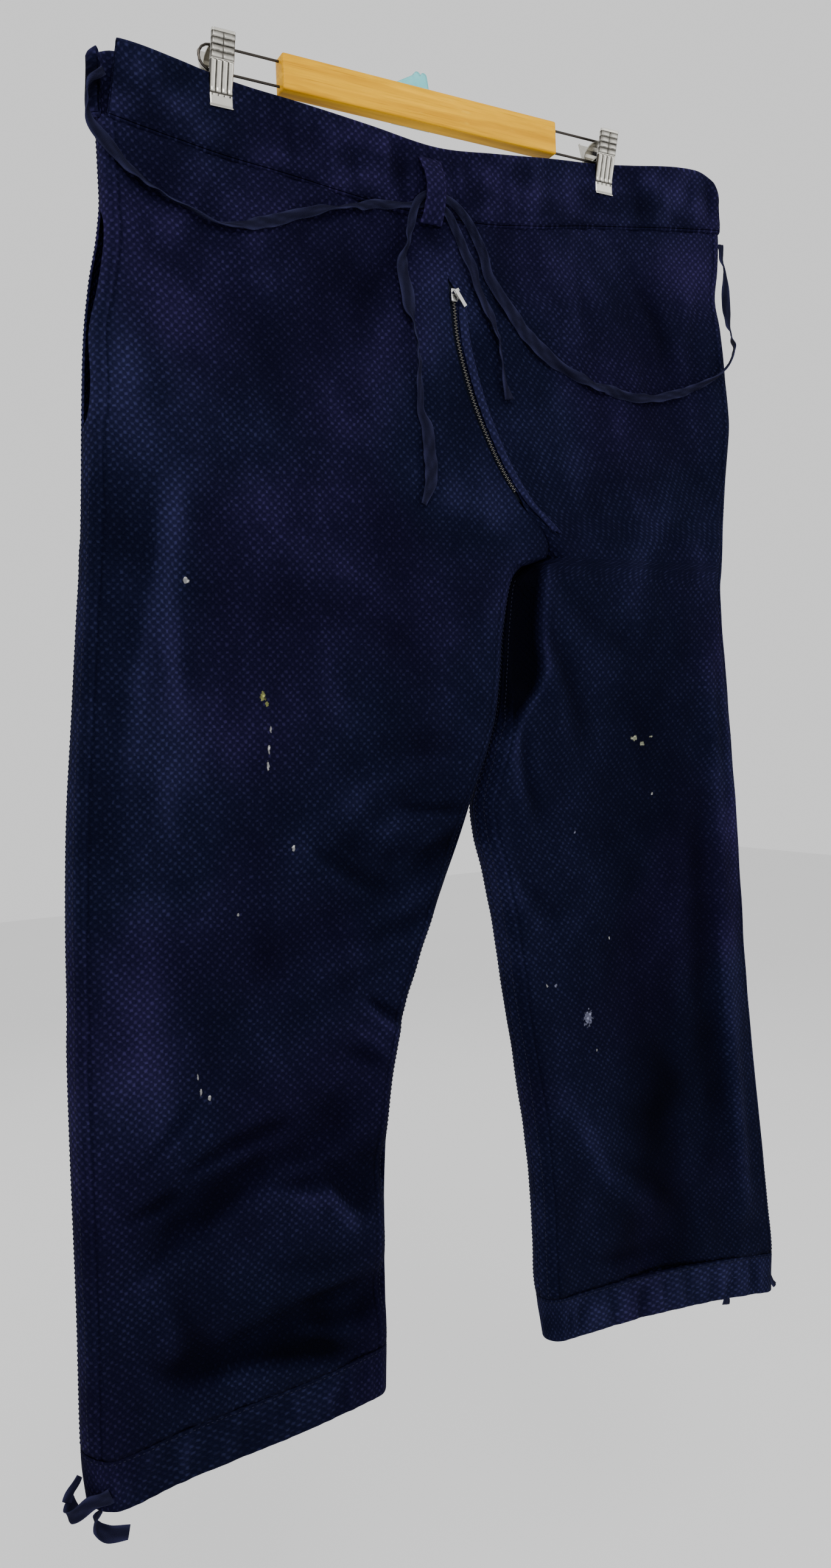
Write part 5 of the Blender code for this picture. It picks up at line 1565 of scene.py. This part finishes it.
def make_seams():
    """The threads of the seams: sides, inseams and hems."""
    mesh = bmesh.new()
    for name in ("front_left", "front_right", "back_left", "back_right"):
        points = PANELS[name]
        outward = -1 if name.startswith("front") else 1
        rows = np.linspace(0.0, 1.0, 400)
        for distance in SIDE_STITCHES:
            u = column_at(points, rows, distance)
            keep = rows > BELOW_POCKET if name.startswith("front") else rows >= 0.0
            add_line(mesh, points, u[keep], rows[keep], outward)
        for distance in INSEAM_STITCHES:
            u = 1 - column_at(points[::-1], rows, distance)
            keep = rows > BELOW_CROTCH
            add_line(mesh, points, u[keep], rows[keep], outward)
    for name in ("hem_left", "hem_right"):
        points = PANELS[name]
        around = np.linspace(0.0, 1.0, 500)
        places, normals = lay_on(points, around, np.full_like(around, 0.07))
        normals = normals * np.sign(normals[:, 1] * (places[:, 1] - places[:, 1].mean()))[:, None]
        stitches(mesh, places, normals, 1.0, 0.00036, sink=0.00015)
    piece = new_piece("seam_threads", mesh, material("thread"))
    belongs(piece, BODY, "cloth")


def column_at(points, rows, distance):
    """The share across a grid at a distance along its surface from its first column, by row."""
    out = []
    for row in rows:
        j = min(int(row * (points.shape[1] - 1)), points.shape[1] - 1)
        run = np.linalg.norm(np.diff(points[:60, j], axis=0), axis=1)
        along = np.concatenate([[0], np.cumsum(run)])
        out.append(np.interp(distance, along, np.arange(len(along))) / (points.shape[0] - 1))
    return np.array(out)


def add_line(mesh, points, u, v, outward):
    """Adds stitches along shares of a bent grid, on its outer side."""
    places, normals = lay_on(points, u, v)
    facing = np.sign(normals[:, 1] * outward)
    facing[facing == 0] = 1
    stitches(mesh, places, normals * facing[:, None], 1.0)


# Tapes


def tape_mesh(name, rings, sides, ups, widths, nodes):
    """A flat tape with soft edges round a line of ring centres."""
    thick = sizes().tape_thick
    steps = 16
    around = np.linspace(0, 2 * math.pi, steps + 1)
    along = np.concatenate([[0], np.cumsum(np.linalg.norm(np.diff(rings, axis=0), axis=1))])
    points = np.zeros((steps + 1, len(rings), 3))
    uv = np.zeros((steps + 1, len(rings), 2))
    worn = np.zeros((steps + 1, len(rings)))
    for k, a in enumerate(around):
        flat = math.copysign(abs(math.cos(a)) ** 0.55, math.cos(a))
        high = math.copysign(abs(math.sin(a)) ** 0.55, math.sin(a))
        dish = 0.0012 * np.sin(along * 95 + 2 * np.sin(along * 33)) * flat * flat
        dish = dish + 0.0007 * np.sin(along * 260 + 4 * flat + 2 * np.sin(along * 71)) * abs(flat)
        across = widths * (flat / 2 + 0.05 * np.sin(along * 140 + 3 * np.sin(along * 47)))
        points[k] = rings + sides * across[:, None] + ups * (thick * high / 2 + dish)[:, None]
        uv[k, :, 0] = widths * flat / 2 + (0.02 if math.sin(a) > 0 else 0.0)
        uv[k, :, 1] = along
        # Paler towards the rolled edges, rubbed and a painted highlight; painted light and painted shade
        # follow the crinkles of the dish
        worn[k] = abs(flat) ** 4 + 0.3 * np.sin(along * 260 + 4 * flat + 2 * np.sin(along * 71))
    points[-1] = points[0]
    mesh_piece = sheet_grid(name, points, material("tape_cloth"), worn, uv, ring=True)
    close_ends(mesh_piece)
    belongs(mesh_piece, BODY, "tape", *nodes)
    return mesh_piece


def close_ends(piece):
    """Caps the two open ends of a tube and makes all its faces point outwards."""
    mesh = bmesh.new()
    mesh.from_mesh(piece.data)
    bmesh.ops.holes_fill(mesh, edges=[edge for edge in mesh.edges if edge.is_boundary], sides=0)
    bmesh.ops.recalc_face_normals(mesh, faces=mesh.faces)
    mesh.to_mesh(piece.data)
    mesh.free()


def ribbon_path(route, count):
    """Ring centres, sideways and outward directions, and widths along a tape's route."""
    rows = through([(x, y, -down, wide, math.radians(turn)) for x, down, y, wide, turn in route], count)
    rings = rows[:, :3].copy()
    widths = rows[:, 3]
    run = np.gradient(rings, axis=0)
    run /= np.linalg.norm(run, axis=1)[:, None]
    flat = np.cross(run, np.array([0.0, 1.0, 0.0]))
    flat /= np.linalg.norm(flat, axis=1)[:, None]
    off = np.cross(flat, run)
    turn = rows[:, 4][:, None]
    sides = flat * np.cos(turn) + off * np.sin(turn)
    return rings, sides, np.cross(sides, run), widths


def make_drawstring():
    """The two stretches of the drawstring, each from where it leaves the casing to its end."""
    for name, route, count in (
        ("drawstring_left", DRAWSTRING_LEFT, 260), ("drawstring_right", DRAWSTRING_RIGHT, 340),
    ):
        laid = [
            (x, down, float(front_y(x, down)) - lift, 0.82 * wide, turn)
            for x, down, lift, wide, turn in route
        ]
        rings, sides, ups, widths = ribbon_path(laid, count)
        along = np.linspace(0, long_of(rings), count)
        twist = 0.75 * np.sin(along * 62 + 1.8 * np.sin(along * 23)) * ease(along / 0.03)
        wide_here = ease((widths - 0.0085) / 0.002)
        held = 1 - bump(rings[:, 0], LOOP_X, 0.018) * bump(-rings[:, 2], 0.078, 0.020)
        held = held * (1 - 0.75 * wide_here)
        twist = (twist * held)[:, None]
        sides, ups = sides * np.cos(twist) + ups * np.sin(twist), ups * np.cos(twist) - sides * np.sin(twist)
        piece = tape_mesh(f"{name}_tape", rings, sides, ups, widths, [name])
        round(long_of(rings), 3)


def make_ties():
    """The ends of the ankle ties."""
    for name, route, count in (
        ("hem_tie_left_end", TIE_LEFT_END, 24), ("hem_tie_left_curl", TIE_LEFT_CURL, 60),
        ("hem_tie_right_end", TIE_RIGHT_END, 24), ("hem_tie_right_nub", TIE_RIGHT_NUB, 16),
    ):
        rings, sides, ups, widths = ribbon_path(route, count)
        tape_mesh(f"{name}_tape", rings, sides, ups, widths, [name])
    rings = through([(x, y, -down) for x, down, y in TIE_LOOP], 80)
    run = np.gradient(rings, axis=0)
    run /= np.linalg.norm(run, axis=1)[:, None]
    sides = np.tile(np.array(TIE_LOOP_SIDE), (len(rings), 1))
    ups = np.cross(sides, run)
    ups /= np.linalg.norm(ups, axis=1)[:, None]
    widths = np.full(len(rings), TIE_LOOP_WIDE)
    tape_mesh("hem_tie_left_loop_tape", rings, sides, ups, widths, ["hem_tie_left_loop"])


# Hanger


def make_bar():
    """The varnished bar, a box with rounded edges."""
    mesh = bmesh.new()
    shape = Matrix.Translation((BAR_X, BAR_Y, 0.0)) @ Matrix.Diagonal((BAR_LONG, BAR_DEEP, BAR_HIGH, 1))
    bmesh.ops.create_cube(mesh, size=1.0, matrix=shape)
    bmesh.ops.bevel(
        mesh, geom=mesh.edges[:], offset=0.0016, segments=4, profile=0.5, affect="EDGES", material=-1
    )
    bar = new_piece("hanger_bar_wood", mesh, material("varnished_wood"), 30)
    belongs(bar, BODY, "bar_wood", "hanger_bar")


def clip_plate(name, x0, face, side, ribbed):
    """One pressed plate of a clip: a bent channel with knobs at its top and ribs below."""
    wide = CLIP_WIDE / 2
    flange = 0.0026
    corner = 0.0006
    s = np.concatenate([
        np.linspace(-wide - flange, -wide - corner, 4), np.linspace(-wide, wide, 57),
        np.linspace(wide + corner, wide + flange, 4),
    ])[:, None]
    v = np.linspace(0.0, 1.0, 131)[None, :]
    down = CLIP_LONG * v
    lean = CLIP_SPLAY * np.maximum(0.0, 1 - down / CLIP_LEAN_FROM)
    lip = CLIP_LIP * np.maximum(0.0, (v - 0.955) / 0.045)
    out = CLIP_PLATE - 0.0002 + lean + lip
    relief = 0.0 * s * v
    painted_relief_shading = 0.5 + 0.0 * relief
    if ribbed:
        across = s / CLIP_WIDE + 0.5
        ribs = np.abs(np.sin(math.pi * (across * 4 - 0.5 + 0.5))) ** 0.7
        ribs = ribs * ease((v - 0.37) / 0.03) * ease((0.80 - v) / 0.02) * (np.abs(s) < wide * 0.97)
        cell = (v - 0.035) / 0.33 * 4
        rise = np.where((cell > 0) & (cell < 4), (cell % 1.0), 0.0)
        knob = rise**0.8 * ease((1 - rise) / 0.16)
        pair = np.abs(np.sin(math.pi * across * 2)) ** 0.35
        dimple = 0.0
        for k in range(4):
            dimple = dimple + bump(across, (k + 0.5) / 4, 0.05) * bump(v, 0.825, 0.012)
        relief = 0.0011 * ribs + 0.0013 * knob * pair * (np.abs(s) < wide * 0.95) - 0.0004 * dimple
        in_ribs = ease((v - 0.37) / 0.02) * ease((0.82 - v) / 0.02)
        in_knobs = ((cell > 0) & (cell < 4)) * 1.0
        # Painted shade in the hollows between the ribs and knobs and in the dimples, the rest brighter as
        # painted reflection
        painted_relief_shading = 0.75 - 0.9 * in_ribs * (1 - ribs) - 0.85 * in_knobs * (1 - knob * pair) - 0.8 * dimple
    beyond = np.maximum(np.abs(s) - wide, 0.0)
    x = x0 + np.clip(s, -wide, wide)
    y = face + side * (out + relief - 0.0006 * bump(np.abs(s), wide, 0.0005)) - side * beyond * 1.0
    down = down + 0.0 * s
    points = np.stack(np.broadcast_arrays(x, y, CLIP_TOP - down), axis=2)
    painted_relief_shading = np.broadcast_to(painted_relief_shading, points.shape[:2])
    return sheet_grid(name, points, material("pressed_steel"), painted_relief_shading, flip=side < 0, thick=CLIP_SHEET)


def make_clips():
    """Two spring clips, each of two pressed plates and a bent spring."""
    centre = float(middle(PINCH_DOWN))
    for side_name, x in (("left", CLIP_X[0]), ("right", CLIP_X[1])):
        front = clip_plate(f"clip_{side_name}_front_plate", x, centre - PINCHED_HALF - 0.0006, -1, True)
        belongs(front, BODY, "clip_steel", f"clip_{side_name}_front")
        back = clip_plate(f"clip_{side_name}_back_plate", x, centre + PINCHED_HALF + 0.0006, 1, False)
        belongs(back, BODY, "clip_steel", f"clip_{side_name}_back")
        repaint(f"clip_{side_name}_spring", "plated_steel")
        repaint(f"hanger_wire_{side_name}", "dark_wire")
    repaint("hanger_eye", "dark_wire")
    repaint("wall_hook", "clear_cyan")


# Stage


def make_camera():
    """The camera, where the photograph was taken from."""
    yaw, pitch, roll = (math.radians(angle) for angle in CAMERA_TURN)
    sy, cy, sp, cp = math.sin(yaw), math.cos(yaw), math.sin(pitch), math.cos(pitch)
    ahead = Vector((sy * cp, cy * cp, sp))
    level_right = Vector((cy, -sy, 0.0))
    level_up = level_right.cross(ahead)
    right = level_right * math.cos(roll) + level_up * math.sin(roll)
    up = level_up * math.cos(roll) - level_right * math.sin(roll)
    turn = Matrix((right, up, -ahead)).transposed().to_4x4()
    turn.translation = CAMERA_PLACE
    data = bpy.data.cameras.new("camera")
    data.sensor_fit = "VERTICAL"
    data.sensor_height = 36.0
    data.lens = data.sensor_height * PHOTO_FOCAL / PHOTO_HIGH
    data.clip_start = 0.01
    made = bpy.data.objects.new("camera", data)
    made.matrix_world = turn
    bpy.context.scene.collection.objects.link(made)
    bpy.context.scene.camera = made


def make_stage():
    """A pale floor and soft studio light."""
    own = sizes()
    mesh = bmesh.new()
    ground = Matrix.Translation((0, 0, FLOOR_Z))
    bmesh.ops.create_grid(mesh, x_segments=1, y_segments=1, size=FLOOR_HALF, matrix=ground)
    floor = new_piece("floor", mesh, plain("pale_floor", (0.86, 0.86, 0.86), 0.8, 0.0, 0.2, 0.01, 3.0, 0.0))
    world = bpy.data.worlds.new("studio")
    bpy.context.scene.world = world
    world.use_nodes = True
    world.node_tree.nodes["Background"].inputs["Color"].default_value = (1.0, 1.0, 1.0, 1.0)
    world.node_tree.nodes["Background"].inputs["Strength"].default_value = 1.0 * own.light
    for name, place, aim, size, power in (
        ("key", (-0.9, -2.2, 1.1), (0.05, 0.0, -0.4), 1.3, 34.0),
        ("fill", (1.8, -1.8, 0.3), (0.05, 0.0, -0.5), 1.6, 10.0),
        ("back", (0.6, 2.2, 0.8), (0.0, 0.0, -0.4), 1.6, 16.0),
    ):
        data = bpy.data.lights.new(name, "AREA")
        data.size = size
        data.energy = power * own.light
        lamp = bpy.data.objects.new(name, data)
        lamp.location = place
        lamp.rotation_euler = (Vector(aim) - Vector(place)).to_track_quat("-Z", "Y").to_euler()
        bpy.context.scene.collection.objects.link(lamp)


# Operators, panel and registration


class TROUSERS_OT_camera(bpy.types.Operator):
    """Puts the camera where the photograph was taken from"""

    bl_idname = "trousers.camera"
    bl_label = "Camera"

    def execute(self, context):
        make_camera()
        return {"FINISHED"}


class TROUSERS_OT_drawstring(bpy.types.Operator):
    """Makes the drawstring's two hanging stretches"""

    bl_idname = "trousers.drawstring"
    bl_label = "Drawstring"

    def execute(self, context):
        make_drawstring()
        return {"FINISHED"}


class TROUSERS_OT_ties(bpy.types.Operator):
    """Makes the ends of the ankle ties"""

    bl_idname = "trousers.ties"
    bl_label = "Ankle ties"

    def execute(self, context):
        make_ties()
        return {"FINISHED"}


class TROUSERS_OT_panels(bpy.types.Operator):
    """Makes the four panels of the legs"""

    bl_idname = "trousers.panels"
    bl_label = "Panels"

    def execute(self, context):
        make_panels()
        return {"FINISHED"}


class TROUSERS_OT_waistband(bpy.types.Operator):
    """Makes the waistband casing"""

    bl_idname = "trousers.waistband"
    bl_label = "Waistband"

    def execute(self, context):
        make_waistband()
        return {"FINISHED"}


class TROUSERS_OT_hems(bpy.types.Operator):
    """Makes the hem casings"""

    bl_idname = "trousers.hems"
    bl_label = "Hems"

    def execute(self, context):
        make_hems()
        return {"FINISHED"}


class TROUSERS_OT_belt_loop(bpy.types.Operator):
    """Makes the belt loop"""

    bl_idname = "trousers.belt_loop"
    bl_label = "Belt loop"

    def execute(self, context):
        make_belt_loop()
        return {"FINISHED"}


class TROUSERS_OT_fly(bpy.types.Operator):
    """Makes the zip and the fly's rolled edge"""

    bl_idname = "trousers.fly"
    bl_label = "Fly"

    def execute(self, context):
        make_fly()
        return {"FINISHED"}


class TROUSERS_OT_pockets(bpy.types.Operator):
    """Makes the side pockets' facings"""

    bl_idname = "trousers.pockets"
    bl_label = "Pockets"

    def execute(self, context):
        make_pockets()
        return {"FINISHED"}


class TROUSERS_OT_seams(bpy.types.Operator):
    """Sews the seams"""

    bl_idname = "trousers.seams"
    bl_label = "Seams"

    def execute(self, context):
        make_seams()
        return {"FINISHED"}


class TROUSERS_OT_hanger(bpy.types.Operator):
    """Makes the bar and the clips"""

    bl_idname = "trousers.hanger"
    bl_label = "Hanger"

    def execute(self, context):
        make_bar()
        make_clips()
        return {"FINISHED"}


class TROUSERS_OT_stage(bpy.types.Operator):
    """Sets up the floor and the light"""

    bl_idname = "trousers.stage"
    bl_label = "Stage"

    def execute(self, context):
        make_stage()
        return {"FINISHED"}


OPERATORS = (
    TROUSERS_OT_camera,
    TROUSERS_OT_drawstring,
    TROUSERS_OT_ties,
    TROUSERS_OT_panels,
    TROUSERS_OT_waistband,
    TROUSERS_OT_hems,
    TROUSERS_OT_belt_loop,
    TROUSERS_OT_fly,
    TROUSERS_OT_pockets,
    TROUSERS_OT_seams,
    TROUSERS_OT_hanger,
    TROUSERS_OT_stage,
)


class TROUSERS_PT_panel(bpy.types.Panel):
    """The sidebar's list of pieces and sizes."""

    bl_idname = "TROUSERS_PT_panel"
    bl_label = "Drawstring trousers"
    bl_space_type = "VIEW_3D"
    bl_region_type = "UI"
    bl_category = "Trousers"

    def draw(self, context):
        for label in TrousersSizes.__annotations__:
            self.layout.prop(context.scene.trousers, label)
        for operator in OPERATORS:
            self.layout.operator(operator.bl_idname)


CLASSES = (TrousersSizes, *OPERATORS, TROUSERS_PT_panel)


def register():
    """Registers the classes and the scene's sizes."""
    for each in CLASSES:
        bpy.utils.register_class(each)
    bpy.types.Scene.trousers = PointerProperty(type=TrousersSizes)


def unregister():
    """Takes the classes and the sizes away again."""
    del bpy.types.Scene.trousers
    for each in reversed(CLASSES):
        bpy.utils.unregister_class(each)


def main():
    """Builds everything."""
    register()
    for operator in OPERATORS:
        group, _, step = operator.bl_idname.partition(".")
        getattr(getattr(bpy.ops, group), step)()


if __name__ == "__main__":
    main()
